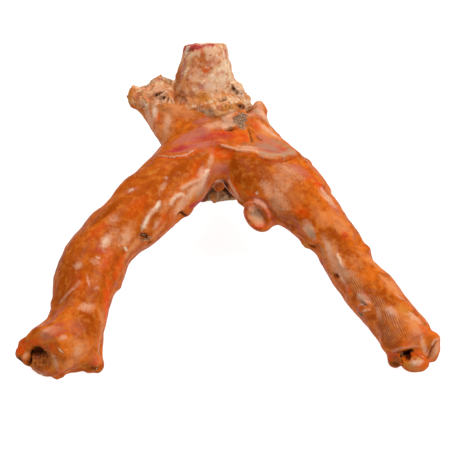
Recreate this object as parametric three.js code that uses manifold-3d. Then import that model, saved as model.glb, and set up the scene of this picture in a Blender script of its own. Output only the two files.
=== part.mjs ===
// A fossil coral branch that stands like a tripod on two long branches and a short rear foot.
// Millimetres, +Z up. The two branches reach towards -Y, and the broken stem rises towards +Y.
// The origin is on the surface that it stands on, under the middle of its box.

import * as THREE from "three";
import { mergeVertices } from "three/addons/utils/BufferGeometryUtils.js";
import Module from "manifold-3d";

const wasm = await Module();
wasm.setup();

// Driving dimensions
const PARTING_GAP = 0.3; // between two pieces that part at a fork
const SWELL = 0.45; // how far the slow swells lift or sink a limb's surface
const SWELL_LENGTH = 26; // from one swell to the next
const FLOOR = 1.8; // the height that the three feet are cut off at
const FLOOR_BLOCK = { width: 200, height: 200, length: 20 }; // cuts them off
const END_BLOCK = { width: 40, height: 40, length: 20 }; // cuts off a broken end
const FORK_BLOCK = { height: 80, length: 110 }; // takes a whole branch
const UPWARDS = new THREE.Vector3(0, 0, 1);
const BACKWARDS = new THREE.Vector3(0, 1, 0);

// Stations along each limb: where its middle is, then half its width and half its thickness.
const TRUNK = [
  [-7.9, 54.2, 68.4, 7.5, 7.6],
  [-7.5, 50.8, 61.0, 9.3, 9.0],
  [-7.6, 48.2, 54.0, 11.6, 10.2],
  [-7.0, 46.0, 47.5, 14.5, 11.2],
  [-5.0, 40.5, 42.5, 18.0, 12.0],
  [-2.5, 32.5, 38.5, 19.0, 11.5],
  [-0.5, 24.0, 35.0, 14.0, 9.5],
];
const LEFT_BRANCH = [
  [-2.0, 35.0, 38.5, 12.0, 11.0],
  [-10.5, 23.5, 37.0, 12.5, 11.2],
  [-19.0, 10.5, 35.0, 12.8, 11.4],
  [-29.0, -2.0, 32.0, 12.2, 11.4],
  [-39.0, -11.3, 27.5, 11.6, 11.2],
  [-46.9, -21.0, 22.3, 12.3, 11.4],
  [-50.8, -31.0, 17.3, 11.4, 10.8],
  [-51.7, -40.2, 12.9, 10.2, 10.0],
  [-55.2, -48.3, 11.0, 10.8, 10.0],
  [-60.5, -53.4, 11.2, 10.2, 9.8],
  [-66.5, -59.0, 10.6, 7.4, 7.2],
];
const RIGHT_BRANCH = [
  [0.0, 36.0, 39.5, 11.0, 10.0],
  [6.2, 24.6, 38.0, 13.4, 11.5],
  [15.8, 12.8, 35.0, 14.6, 11.5],
  [25.6, 4.2, 31.8, 12.9, 10.2],
  [33.2, -2.4, 27.9, 10.4, 9.7],
  [40.5, -10.5, 23.2, 8.8, 8.8],
  [45.4, -20.0, 18.6, 9.4, 8.8],
  [52.3, -28.8, 14.8, 9.5, 8.9],
  [59.2, -37.7, 11.8, 8.8, 8.8],
  [63.9, -47.0, 10.2, 9.3, 9.0],
  [66.6, -51.6, 9.4, 7.4, 7.4],
];
const SIDE_STUB = [
  [-10.0, 42.0, 43.5, 12.0, 9.5],
  [-18.0, 44.5, 44.5, 11.0, 8.4],
  [-25.0, 45.8, 45.2, 8.8, 8.0],
  [-30.0, 47.0, 45.6, 6.4, 5.8],
  [-33.4, 48.0, 45.8, 4.4, 4.2],
];
const LEFT_WEB = [
  [-29.0, 45.8, 44.4, 5.0, 4.5],
  [-23.2, 40.4, 42.0, 6.6, 6.5],
  [-17.2, 33.2, 39.2, 7.4, 8.0],
  [-12.2, 25.0, 37.0, 8.0, 9.0],
];
const RIGHT_SHOULDER = [
  [12.9, 40.4, 49.4, 1.6, 1.8],
  [12.5, 37.6, 47.6, 3.8, 3.6],
  [11.3, 32.4, 45.0, 6.3, 6.0],
  [12.2, 26.2, 42.0, 7.2, 7.2],
  [18.6, 17.8, 38.0, 8.8, 8.6],
  [27.2, 10.4, 33.2, 9.2, 8.8],
  [33.0, 3.4, 30.0, 8.2, 7.6],
];
const CROTCH = [
  [-13.0, 12.0, 38.5, 6.0, 6.0],
  [-6.5, 16.0, 38.5, 8.0, 7.0],
  [-0.5, 18.0, 38.5, 9.0, 6.8],
  [6.0, 16.0, 38.5, 8.4, 7.0],
  [13.0, 11.0, 37.0, 7.0, 6.5],
];
const REAR_FOOT = [
  [-3.0, 35.0, 34.0, 14.0, 11.5],
  [-3.2, 40.0, 25.0, 10.8, 10.0],
  [-3.0, 45.0, 13.0, 9.2, 8.8],
  [-3.0, 49.4, -1.0, 11.4, 9.8],
];
const HEEL = [
  [-50.5, -41.0, 11.0, 8.0, 7.0],
  [-49.2, -48.6, 7.2, 7.0, 6.2],
  [-46.4, -54.4, 5.0, 4.6, 4.2],
];
const EAR_NECK = [
  [18.0, 10.0, 32.6, 8.0, 8.0],
  [14.2, 4.4, 30.6, 6.6, 6.4],
  [12.1, -0.4, 28.8, 5.0, 5.0],
];
// The edge of the sheet of crust that ends in a step across the fork
const CREST = [
  [-26.0, 14.0, 42.8, 1.8, 1.4],
  [-21.0, 12.4, 45.0, 2.8, 1.8],
  [-16.5, 11.2, 45.2, 3.0, 2.0],
  [-11.5, 14.2, 45.0, 3.0, 2.0],
  [-5.5, 18.4, 45.4, 3.0, 2.0],
  [-1.0, 18.6, 45.6, 3.0, 2.0],
  [4.5, 15.4, 45.4, 3.0, 2.0],
  [10.5, 12.6, 45.7, 3.0, 2.0],
  [16.5, 11.0, 45.0, 3.0, 2.0],
  [21.5, 13.0, 44.2, 2.6, 1.8],
  [26.5, 18.0, 42.0, 1.8, 1.4],
];
// The glossy rib along the low side of the left branch
const RIB = [
  [-3.5, 11.5, 40.5, 1.4, 1.6],
  [-7.0, 8.6, 39.4, 2.0, 2.2],
  [-11.0, 4.2, 39.4, 2.0, 2.2],
  [-15.0, 0.6, 39.8, 2.0, 2.0],
  [-19.2, -4.2, 39.2, 2.0, 1.8],
  [-22.4, -7.4, 38.4, 2.0, 1.8],
  [-25.6, -11.0, 37.4, 1.8, 1.8],
  [-28.4, -15.0, 34.8, 1.6, 1.8],
  [-30.0, -16.6, 32.6, 1.2, 1.4],
];

// How far a limb's surface stands above or below its plain section at a point.
function swellAt(point) {
  const turn = (2 * Math.PI) / SWELL_LENGTH;
  const across = Math.sin(point.x * turn + 1.3) + Math.sin(point.y * turn + 0.4);
  const upDown = Math.sin((point.z + point.x * 0.5) * turn + 2.1);
  return (SWELL * (across + upDown)) / 2;
}

// A closed geometry as a solid that can be joined and cut.
function solid(geometry) {
  geometry.deleteAttribute("normal");
  geometry.deleteAttribute("uv");
  const merged = mergeVertices(geometry, 1e-4);
  return new wasm.Manifold(
    new wasm.Mesh({
      numProp: 3,
      vertProperties: new Float32Array(merged.attributes.position.array),
      triVerts: new Uint32Array(merged.index.array),
    }),
  );
}

// A straight cylinder bent along the stations, with their half sizes as its section. Its width
// lies across both the limb and the direction that it faces.
function limb(stations, { sides = 20, rings = 26, facing = UPWARDS } = {}) {
  const spine = new THREE.CatmullRomCurve3(
    stations.map(([x, y, z]) => new THREE.Vector3(x, y, z)),
  );
  const girth = new THREE.CatmullRomCurve3(
    stations.map(([, , , width, thickness]) => new THREE.Vector3(width, thickness, 0)),
  );
  const geometry = new THREE.CylinderGeometry(1, 1, 1, sides, rings);
  const corners = geometry.getAttribute("position");
  for (let i = 0; i < corners.count; i++) {
    const along = corners.getY(i) + 0.5;
    const middle = spine.getPoint(along);
    const size = girth.getPoint(along);
    const ahead = spine.getTangent(along);
    const sideways = new THREE.Vector3().crossVectors(ahead, facing).normalize();
    const outwards = new THREE.Vector3().crossVectors(sideways, ahead);
    const reach = new THREE.Vector3()
      .addScaledVector(sideways, corners.getX(i) * size.x)
      .addScaledVector(outwards, corners.getZ(i) * size.y);
    const distance = reach.length();
    if (distance > 0) reach.setLength(distance + swellAt(middle.clone().add(reach)));
    corners.setXYZ(i, ...middle.add(reach).toArray());
  }
  return solid(geometry);
}

// An egg-shaped lump: its middle, its three half sizes and its turns in degrees.
function lump([x, y, z], [a, b, c], [turnX, turnY, turnZ] = [0, 0, 0], around = 10) {
  const geometry = new THREE.SphereGeometry(1, around, Math.round(around * 0.7));
  const turns = [turnX, turnY, turnZ].map(THREE.MathUtils.degToRad);
  geometry.scale(a, b, c);
  geometry.applyMatrix4(new THREE.Matrix4().makeRotationFromEuler(new THREE.Euler(...turns)));
  geometry.translate(x, y, z);
  return solid(geometry);
}

// A block whose near face passes through a point and which reaches away along a direction.
function blockFrom(point, direction, { width, height, length, back = 0 }) {
  const ahead = new THREE.Vector3(...direction).normalize();
  const geometry = new THREE.BoxGeometry(width, height, length);
  geometry.translate(0, 0, length / 2 - back);
  const level = Math.abs(ahead.z) > 0.99 ? BACKWARDS : UPWARDS;
  const sideways = new THREE.Vector3().crossVectors(level, ahead).normalize();
  const turned = new THREE.Matrix4().makeBasis(
    sideways,
    new THREE.Vector3().crossVectors(ahead, sideways),
    ahead,
  );
  geometry.applyMatrix4(turned);
  geometry.translate(...point);
  return solid(geometry);
}

const joined = (pieces) => pieces.reduce((sum, piece) => sum.add(piece));

// What stands out from the limbs: middle, half sizes, turns and, for a large one, its facets around
const LUMPS = {
  forkBody: [[-3.5, 27.5, 38.5], [19.0, 14.0, 11.5], [0, 0, 0], 14],
  trunkBack: [[-13.0, 54.5, 50.0], [6.0, 6.5, 8.0], [-30, 0, 0], 12],
  trunkSide: [[-1.0, 54.5, 53.5], [4.0, 4.5, 6.5], [-30, 0, 0], 12],
  footHeel: [[3.2, 43.4, 4.4], [4.6, 4.2, 5.2], [0, 0, 0]],
  footRoot: [[-8.6, 42.8, 3.8], [4.4, 4.4, 5.0], [0, 0, 0]],
  stubKnob: [[-34.6, 48.2, 45.8], [3.0, 4.4, 4.6], [0, 0, 10]],
  stubRidge: [[-24.4, 51.6, 50.5], [4.4, 2.6, 2.7], [0, -8, 10]],
  crustShelf: [[3.8, 42.6, 46.0], [4.0, 4.4, 5.6], [0, 14, 0]],
  trunkHump: [[4.5, 41.6, 53.4], [3.6, 3.6, 4.2], [-30, 0, 0], 12],
  crustBrow: [[-14.6, 43.5, 50.0], [7.0, 4.0, 4.2], [-40, 0, 10], 12],
  earLobe: [[12.3, -2.5, 28.9], [5.0, 5.4, 6.5], [-40, -43, 0], 14],
  lobeSkirt: [[19.4, -0.2, 28.6], [6.6, 5.0, 4.4], [0, 0, -40], 12],
  elbowKnob: [[29.4, -8.0, 22.4], [3.4, 3.4, 3.0], [0, 0, 30]],
  shoulderKnob: [[29.2, 17.6, 36.4], [3.8, 4.2, 3.6], [0, 0, -30]],
  shinKnob: [[50.4, -14.0, 22.2], [2.6, 2.8, 2.8], [0, 0, 0]],
  kneeKnob: [[-39.2, -26.8, 17.4], [2.6, 2.4, 3.0], [0, 0, 0]],
  leftRim: [[-68.8, -52.8, 10.3], [4.6, 4.4, 4.9], [0, 0, 0], 12],
  solePoint: [[-57.6, -57.2, 3.7], [3.6, 2.8, 3.8], [0, 0, 20]],
  soleBridge: [[-52.7, -53.9, 4.2], [4.4, 3.2, 3.0], [0, 0, 0]],
  heelBall: [[-46.4, -54.4, 4.6], [4.3, 3.6, 3.6], [0, 0, 0], 12],
  toeBoss: [[66.5, -55.0, 6.3], [5.6, 3.6, 4.0], [0, 0, 0], 14],
  innerToe: [[60.0, -51.4, 4.8], [3.2, 3.4, 4.2], [0, 0, 0]],
  outerToe: [[73.1, -50.8, 9.6], [2.6, 3.6, 6.0], [0, -4, 0], 12],
  toeEnd: [[66.0, -49.6, 8.8], [7.6, 5.0, 7.4], [0, 0, 0], 14],
};
// What is sunk into them
const HOLLOWS = {
  leftCore: [[-64.4, -58.4, 11.0], [3.6, 6.0, 4.4], [0, 0, 30]],
  earCup: [[12.0, -6.4, 32.2], [3.4, 3.8, 5.0], [-40, -43, 0]],
  heelPit: [[-46.4, -58.0, 2.8], [2.0, 2.2, 1.2], [0, 0, 0]],
  toeCleft: [[62.8, -54.4, 9.4], [3.2, 3.4, 1.5], [0, 25, 0]],
  trunkPits: [[3.2, 38.4, 56.0], [1.3, 1.4, 2.3], [0, 20, 0]],
  trunkPitLow: [[-0.6, 35.0, 55.0], [1.2, 1.2, 1.4], [0, 0, 0]],
  crustCrevice: [[6.4, 31.8, 53.6], [2.4, 1.5, 1.5], [0, 0, 20]],
  crustSlit: [[1.8, 23.2, 49.6], [1.5, 0.9, 1.2], [0, 0, 20]],
  grainDish: [[5.9, 26.2, 52.4], [3.8, 3.2, 3.0], [0, 0, 0]],
  stubFissure: [[-24.4, 40.2, 51.8], [5.6, 1.5, 2.2], [0, -6, -12]],
  stubRecess: [[-17.0, 38.4, 51.8], [2.6, 2.8, 2.4], [0, 0, 0]],
  shinPit: [[-28.6, -17.8, 31.2], [2.0, 1.8, 2.0], [0, 0, 0]],
  ribCrevice: [[-19.0, -8.8, 35.6], [3.2, 1.5, 1.2], [0, 0, 42]],
  elbowPit: [[39.6, -25.8, 20.2], [1.6, 1.2, 1.8], [0, 0, 0]],
};

// Planes where the coral is parted: a point on each, and the way out along the limb
const LEFT_FORK = { point: [-19.0, 12.0, 36.0], outwards: [-0.62, -0.76, -0.18], width: 56 };
const RIGHT_FORK = { point: [12.5, 17.5, 36.5], outwards: [0.62, -0.77, -0.14], width: 40 };
const REAR_FORK = { point: [-3.3, 42.0, 21.0], outwards: [0, 0.3, -1], width: 40 };
const LEFT_END = { point: [-62.9, -57.2, 10.6], outwards: [-0.5, -0.8, 0.3] };
const STUMP_END = { point: [-7.3, 53.0, 66.9], outwards: [-0.04, 0.5, 0.86] };

// All limbs and lumps grown together, less the hollows, the two broken ends and the floor.
function wholeCoral() {
  const grown = joined([
    limb(TRUNK, { sides: 20, rings: 13, facing: BACKWARDS }),
    limb(LEFT_BRANCH, { sides: 18, rings: 26 }),
    limb(RIGHT_BRANCH, { sides: 18, rings: 26 }),
    limb(SIDE_STUB, { sides: 14, rings: 9 }),
    limb(LEFT_WEB, { sides: 12, rings: 8 }),
    limb(RIGHT_SHOULDER, { sides: 14, rings: 12 }),
    limb(CROTCH, { sides: 12, rings: 8 }),
    limb(REAR_FOOT, { sides: 14, rings: 9, facing: BACKWARDS }),
    limb(HEEL, { sides: 12, rings: 6 }),
    limb(EAR_NECK, { sides: 12, rings: 5 }),
    limb(CREST, { sides: 8, rings: 20 }),
    limb(RIB, { sides: 6, rings: 14 }),
    ...Object.values(LUMPS).map((shape) => lump(...shape)),
  ]);
  const sunk = joined([
    ...Object.values(HOLLOWS).map((shape) => lump(...shape)),
    blockFrom(LEFT_END.point, LEFT_END.outwards, END_BLOCK),
    blockFrom(STUMP_END.point, STUMP_END.outwards, END_BLOCK),
    blockFrom([0, 0, FLOOR], [0, 0, -1], FLOOR_BLOCK),
  ]);
  return grown.subtract(sunk);
}

// The whole coral parted at its forks, with a narrow gap left on the stem's side of each plane.
function parted(whole) {
  const blockAt = ({ point, outwards, width }, margin) =>
    blockFrom(point, outwards, {
      width: width + 2 * margin,
      height: FORK_BLOCK.height + 2 * margin,
      length: FORK_BLOCK.length,
      back: margin,
    });
  const forks = [LEFT_FORK, RIGHT_FORK, REAR_FORK];
  const [leftBranch, rightBranch, rearFoot] = forks.map((fork) =>
    whole.intersect(blockAt(fork, 0)),
  );
  const stem = whole.subtract(joined(forks.map((fork) => blockAt(fork, PARTING_GAP))));
  return { stem, leftBranch, rightBranch, rearFoot };
}

// A solid as a named mesh with its own material.
function mesh(name, piece, colour, roughness) {
  const { vertProperties, triVerts, numProp } = piece.getMesh();
  const places = new Float32Array((vertProperties.length / numProp) * 3);
  for (let i = 0; i < places.length; i++)
    places[i] = vertProperties[numProp * Math.floor(i / 3) + (i % 3)];
  const geometry = new THREE.BufferGeometry();
  geometry.setAttribute("position", new THREE.BufferAttribute(places, 3));
  geometry.setIndex(new THREE.BufferAttribute(new Uint32Array(triVerts), 1));
  geometry.computeVertexNormals();
  const material = new THREE.MeshStandardMaterial({ color: colour, roughness, metalness: 0 });
  const made = new THREE.Mesh(geometry, material);
  made.name = name;
  return made;
}

const { stem, leftBranch, rightBranch, rearFoot } = parted(wholeCoral());
const coral = new THREE.Group();
coral.add(
  mesh("stem", stem, 0xd9a679, 0.6),
  mesh("left_branch", leftBranch, 0xc8501a, 0.25),
  mesh("right_branch", rightBranch, 0xc8501a, 0.25),
  mesh("rear_foot", rearFoot, 0x8a6a4a, 0.7),
);
const box = new THREE.Box3().setFromObject(coral);
const middle = box.getCenter(new THREE.Vector3());
coral.position.set(-middle.x, -middle.y, -box.min.z);

export default coral;
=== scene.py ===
"""A fossil coral branch on a pale floor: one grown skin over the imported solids, with crust grains.

Lengths are in millimetres until a mesh is made, because that is what the coral is measured in.
Places that the photograph shows are given as its pixels, and land on the skin from its camera.
"""

import itertools
import math

import bmesh
import bpy
import numpy as np
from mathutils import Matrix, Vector
from mathutils.bvhtree import BVHTree


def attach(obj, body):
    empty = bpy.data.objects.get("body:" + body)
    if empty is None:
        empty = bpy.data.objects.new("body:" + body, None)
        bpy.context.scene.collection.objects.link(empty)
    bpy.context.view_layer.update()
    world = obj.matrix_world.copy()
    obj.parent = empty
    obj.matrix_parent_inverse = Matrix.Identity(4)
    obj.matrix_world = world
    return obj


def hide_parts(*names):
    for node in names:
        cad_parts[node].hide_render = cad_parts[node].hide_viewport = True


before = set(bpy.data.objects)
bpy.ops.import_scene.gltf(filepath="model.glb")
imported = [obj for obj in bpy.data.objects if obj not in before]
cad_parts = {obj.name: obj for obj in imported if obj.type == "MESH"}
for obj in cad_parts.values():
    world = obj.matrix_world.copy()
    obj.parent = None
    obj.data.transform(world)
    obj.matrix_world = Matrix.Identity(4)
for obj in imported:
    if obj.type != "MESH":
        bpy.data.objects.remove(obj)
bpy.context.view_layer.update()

MM = 0.001
SEED = 11

# The photograph's camera
PHOTO_SIDE = 450
LENS = 130.0
SENSOR = 36.0
ELEVATION = math.radians(40)
DISTANCE = 600.0
AIM = np.array([-1.36, 0.21, 20.9])
TO_RIGHT = np.array([1.0, 0.0, 0.0])
TO_EYE = np.array([0.0, -math.cos(ELEVATION), math.sin(ELEVATION)])
TO_TOP = np.array([0.0, math.sin(ELEVATION), math.cos(ELEVATION)])
EYE = AIM + TO_EYE * DISTANCE
FOCAL = LENS / SENSOR * PHOTO_SIDE

# The skin
WELD = 0.001  # corners of a solid that lie this close become one
FILL = 0.24  # how far each solid swells to close the gaps at the forks
VOXEL = 0.45
TURNED_AWAY = -0.15  # where the normal's share towards the eye is below this, the skin is thinned
TRIANGLES = 196_000  # kept in all, by thinning the sides that the photograph doesn't show
EVEN_ROUNDS = 22  # how often the facets are evened out
EVEN_SHARE = 0.5  # how far a point goes each time towards the middle of its neighbours

# Lines and limbs
CURVE_STEPS = 16  # points on a middle line from one station to the next
LOTS = 24  # the skin's points are set against the middle lines in this many lots, to save memory
PIXELS_PER_MM = 2.6
ROUTE_STEP = 0.4  # from one point to the next on a line of pixels
LINE_ENDS = 0.12  # the share of a line over which it dies out at either end
WOBBLE = 0.3  # how far ribs and grooves stray from their lines

# Middle lines of the limbs, from the fork outwards, with the thickness there
LIMBS = {
    "stem": [
        (-2.0, 24.2, 33.2, 11), (-4.0, 32.7, 36.7, 14), (-6.5, 40.7, 40.7, 14), (-8.5, 46.2, 45.7, 12),
        (-9.1, 48.4, 52.2, 11), (-9.0, 51.0, 59.2, 9), (-9.1, 54.4, 66.6, 8),
    ],
    "left": [
        (-3.5, 35.2, 36.7, 11), (-12.0, 23.7, 35.2, 12), (-20.5, 10.7, 33.2, 12), (-30.5, -1.8, 30.2, 12),
        (-40.5, -11.1, 25.7, 11.5), (-48.4, -20.8, 20.5, 12), (-52.3, -30.8, 15.5, 11),
        (-53.8, -39.8, 11.6, 10.4), (-56.7, -47.8, 9.6, 10.4), (-62.0, -53.2, 9.4, 10),
        (-68.0, -58.8, 8.8, 7.4),
    ],
    "right": [
        (-1.5, 36.2, 37.7, 10.5), (4.7, 24.8, 36.2, 12.5), (14.3, 13.0, 33.2, 13), (23.5, 3.6, 29.5, 12),
        (31.5, -2.8, 25.7, 9.8), (39.0, -10.3, 21.4, 8.8), (44.5, -19.8, 16.8, 8.8),
        (51.1, -28.6, 13.0, 9), (57.7, -37.5, 10.0, 8.8), (62.5, -46.8, 8.4, 9.4), (65.1, -51.4, 7.6, 7.4),
    ],
}


def smoothstep(low, high, value):
    """0 below low, 1 above high and an S curve between them."""
    t = np.clip((value - low) / (high - low), 0, 1)
    return t * t * (3 - 2 * t)


def unit(vector):
    return vector / np.maximum(np.linalg.norm(vector, axis=-1, keepdims=True), 1e-9)


# Noise
PICKS = 4096
GRADIENTS = unit(np.random.default_rng(SEED).normal(size=(PICKS, 3)))
CELL_POINTS = np.random.default_rng(SEED + 1).random((PICKS, 3))


def lattice_pick(cell, seed):
    """A whole number below PICKS for each lattice cell."""
    mixed = cell[:, 0] * 73856093 ^ cell[:, 1] * 19349663 ^ cell[:, 2] * 83492791
    return ((mixed ^ (mixed >> 13)) + seed * 911) & (PICKS - 1)


def swells(points, size, seed):
    """Smooth noise from about -1 to 1, with swells of about that size."""
    place = points / size
    cell = np.floor(place).astype(np.int64)
    inside = place - cell
    fade = inside**3 * (inside * (inside * 6 - 15) + 10)
    total = np.zeros(len(points))
    for corner in itertools.product((0, 1), repeat=3):
        pull = GRADIENTS[lattice_pick(cell + corner, seed)]
        share = np.prod(np.where(corner, fade, 1 - fade), axis=1)
        total += share * (pull * (inside - corner)).sum(1)
    return total * 1.7


def rough(points, size, octaves, seed):
    """Noise whose finer layers halve in size and in height."""
    return sum(swells(points, size / 2**k, seed + k) / 2**k for k in range(octaves))


def pores(points, size, seed):
    """The distance to the nearest of many scattered points, as a share of their spacing."""
    place = points / size
    cell = np.floor(place).astype(np.int64)
    nearest = np.full(len(points), 9.0)
    for step in itertools.product((-1, 0, 1), repeat=3):
        other = cell + step
        point = other + CELL_POINTS[lattice_pick(other, seed)]
        nearest = np.minimum(nearest, ((point - place) ** 2).sum(1))
    return np.sqrt(nearest)


class Skin:
    """The coral's surface as arrays in millimetres, with its named masks from 0 to 1."""

    def __init__(self, mesh):
        self.mesh = mesh
        corners = np.empty(len(mesh.vertices) * 3)
        mesh.vertices.foreach_get("co", corners)
        self.points = corners.reshape(-1, 3) / MM
        edges = np.empty(len(mesh.edges) * 2, np.int64)
        mesh.edges.foreach_get("vertices", edges)
        self.edges = edges.reshape(-1, 2)
        mesh.calc_loop_triangles()
        triangles = np.empty(len(mesh.loop_triangles) * 3, np.int64)
        mesh.loop_triangles.foreach_get("vertices", triangles)
        self.triangles = triangles.reshape(-1, 3)
        self.neighbours = np.bincount(self.edges.ravel(), minlength=len(self.points))
        self.masks = {}

    def spread(self, values):
        """Values evened out over the surface."""
        a, b = self.edges.T
        count = len(self.points)
        for _ in range(EVEN_ROUNDS):
            gathered = [
                np.bincount(a, column[b], count) + np.bincount(b, column[a], count)
                for column in values.T
            ]
            mean = np.stack(gathered, axis=1) / self.neighbours[:, None]
            values = values + (mean - values) * EVEN_SHARE
        return values

    def normals(self):
        a, b, c = (self.points[self.triangles[:, k]] for k in range(3))
        face = np.cross(b - a, c - a)
        total = np.zeros_like(self.points)
        for k, axis in itertools.product(range(3), repeat=2):
            total[:, axis] += np.bincount(self.triangles[:, k], face[:, axis], len(self.points))
        return unit(total)

    def mask(self, name):
        return self.masks.setdefault(name, np.zeros(len(self.points)))

    def mark(self, name, value, where=slice(None)):
        """Raises a mask to value where that is higher."""
        mask = self.mask(name)
        mask[where] = np.maximum(mask[where], value)

    def tree(self):
        return BVHTree.FromPolygons(self.points.tolist(), self.triangles.tolist())

    def write(self):
        """Puts the points and masks into the mesh."""
        self.mesh.vertices.foreach_set("co", (self.points * MM).ravel())
        for name, value in self.masks.items():
            layer = self.mesh.attributes.new(name, "FLOAT", "POINT")
            layer.data.foreach_set("value", value.astype(np.float32))
        self.mesh.update()


def new_object(name, mesh):
    made = bpy.data.objects.new(name, mesh)
    bpy.context.scene.collection.objects.link(made)
    return made


def finished_mesh(piece):
    """The piece's mesh with its modifiers applied."""
    shown = piece.evaluated_get(bpy.context.evaluated_depsgraph_get())
    return bpy.data.meshes.new_from_object(shown)


def grown_skin():
    """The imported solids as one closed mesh, with the gaps at the forks filled."""
    joined = bmesh.new()
    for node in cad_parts.values():
        joined.from_mesh(node.data)
    bmesh.ops.remove_doubles(joined, verts=joined.verts, dist=WELD * MM)
    joined.normal_update()
    for corner in joined.verts:
        corner.co += corner.normal * FILL * MM
    mesh = bpy.data.meshes.new("joined_solids")
    joined.to_mesh(mesh)
    joined.free()
    swollen = new_object("joined_solids", mesh)
    remesh = swollen.modifiers.new("grown together", "REMESH")
    remesh.mode = "VOXEL"
    remesh.voxel_size = VOXEL * MM
    grown = finished_mesh(swollen)
    bpy.data.objects.remove(swollen)
    bpy.data.meshes.remove(mesh)
    return grown


def thinned(mesh):
    """The mesh with larger faces on the sides that turn away from the photograph."""
    piece = new_object("coral_skin", mesh)
    behind = piece.vertex_groups.new(name="behind")
    facing = np.empty(len(mesh.vertices) * 3)
    mesh.vertices.foreach_get("normal", facing)
    turned_away = np.flatnonzero(facing.reshape(-1, 3) @ TO_EYE < TURNED_AWAY)
    behind.add(turned_away.tolist(), 1.0, "REPLACE")
    mesh.calc_loop_triangles()
    thin = piece.modifiers.new("thinned behind", "DECIMATE")
    thin.vertex_group = behind.name
    thin.ratio = TRIANGLES / len(mesh.loop_triangles)
    thin.use_collapse_triangulate = True
    kept = finished_mesh(piece)
    bpy.data.objects.remove(piece)
    bpy.data.meshes.remove(mesh)
    kept.name = "coral_skin"
    return kept


skin = Skin(thinned(grown_skin()))
skin.points -= skin.normals() * FILL
evened = skin.spread(skin.points)
skin.points = evened + skin.spread(skin.points - evened)
resting = skin.points[:, 2].copy()


# Where each point lies on its limb
def curved(stations):
    """Points close together on a smooth curve through the stations."""
    row = np.array(stations)
    row = np.concatenate([[2 * row[0] - row[1]], row, [2 * row[-1] - row[-2]]])
    t = np.linspace(0, 1, CURVE_STEPS, endpoint=False)[:, None]
    parts = [
        0.5 * (
            2 * b + (c - a) * t + (2 * a - 5 * b + 4 * c - d) * t**2
            + (3 * b - a - 3 * c + d) * t**3
        )
        for a, b, c, d in zip(row, row[1:], row[2:], row[3:])
    ]
    return np.concatenate(parts)


def limb_places():
    """For each point of the skin: its limb, the cosine and sine of its angle round the limb's
    middle line, and how far out along the limb it lies."""
    best = np.full(len(skin.points), 1e9)
    limb, turned = np.zeros(len(best), int), np.zeros((len(best), 3))
    for number, stations in enumerate(LIMBS.values()):
        line = curved(stations)
        middle, thickness = line[:, :3], line[:, 3]
        ahead = unit(np.gradient(middle, axis=0))
        along = np.concatenate([[0], np.cumsum(np.linalg.norm(np.diff(middle, axis=0), axis=1))])
        upward = [unit(np.cross(ahead[0], (1, 0, 0)))]
        for step in ahead[1:]:
            upward.append(unit(upward[-1] - step * (upward[-1] @ step)))
        upward = np.array(upward)
        sideways = np.cross(ahead, upward)
        for part in np.array_split(np.arange(len(best)), LOTS):
            gap = np.linalg.norm(skin.points[part][:, None] - middle[None], axis=2)
            nearest = gap.argmin(1)
            apart = gap.min(1) / thickness[nearest]
            closer = apart < best[part]
            which, at = part[closer], nearest[closer]
            offset = skin.points[which] - middle[at]
            best[which], limb[which] = apart[closer], number
            cosine, sine = (offset * upward[at]).sum(1), (offset * sideways[at]).sum(1)
            radius = np.hypot(cosine, sine) + 1e-6
            turned[which] = np.stack([cosine / radius, sine / radius, along[at]], axis=1)
    return limb, turned


limb, turned = limb_places()
along = turned[:, 2]

# Places of the photograph on the skin
RAY_SHARES = 0.87, 1.13, 0.005  # first, last and step, where a ray that misses the coral is tried
seen = skin.tree()
outward = skin.normals()


def landing(pixel):
    """The point of the skin under a pixel of the photograph, and the surface's direction there. A
    pixel just beside the coral gives the nearest point of its outline."""
    x, y = pixel
    half = PHOTO_SIDE / 2
    ray = unit(TO_RIGHT * (x - half) / FOCAL + TO_TOP * (half - y) / FOCAL - TO_EYE)
    point, normal, *_ = seen.ray_cast(Vector(EYE), Vector(ray))
    if point is None:
        steps = np.arange(*RAY_SHARES) * DISTANCE
        found = [seen.find_nearest(Vector(EYE + ray * step)) for step in steps]
        point, normal, *_ = min(found, key=lambda one: one[3])
    return np.array(point), np.array(normal)


def oval(pixel, length, width, angle, fray=0.2, edge=0.35):
    """(which points, how far in) for an oval patch with a frayed edge round a pixel. Its length
    and width are half sizes on the surface, and the angle is the one that shows."""
    centre, normal = landing(pixel)
    turn = math.radians(angle)
    shown = TO_RIGHT * math.cos(turn) + TO_TOP * math.sin(turn)
    ahead = unit(shown - normal * (shown @ normal))
    across = np.cross(normal, ahead)
    offset = skin.points - centre
    reach = max(length, width)
    near = np.flatnonzero((offset**2).sum(1) < ((1.2 + edge) * reach) ** 2)
    offset = offset[near]
    depth = offset @ normal / (0.9 * reach)
    far = np.sqrt((offset @ ahead / length) ** 2 + (offset @ across / width) ** 2 + depth**2)
    size = 0.7 * min(length, width) + 0.5
    far = far + fray * rough(skin.points[near], size, 2, int(pixel[0]))
    return near, 1 - smoothstep(1 - edge, 1 + edge, far)


def raise_by(near, heights):
    """Moves points of the skin outwards, or inwards where their heights are below 0."""
    skin.points[near] += outward[near] * heights[:, None]


def push(pixel, length, width, height, angle):
    """Raises an oval of the surface, or sinks it where height is below 0."""
    near, inside = oval(pixel, length, width, angle, fray=0.12, edge=0.6)
    raise_by(near, inside * height)
    return near, inside


def route(pixels):
    """Points close together on the skin along a line of pixels."""
    marks = np.array(pixels, float)
    reached = np.concatenate([[0], np.cumsum(np.linalg.norm(np.diff(marks, axis=0), axis=1))])
    walk = np.arange(0, reached[-1], ROUTE_STEP * PIXELS_PER_MM)
    places = [
        landing((np.interp(w, reached, marks[:, 0]), np.interp(w, reached, marks[:, 1])))
        for w in walk
    ]
    return np.array([point for point, _ in places]), np.array([normal for _, normal in places])


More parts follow.
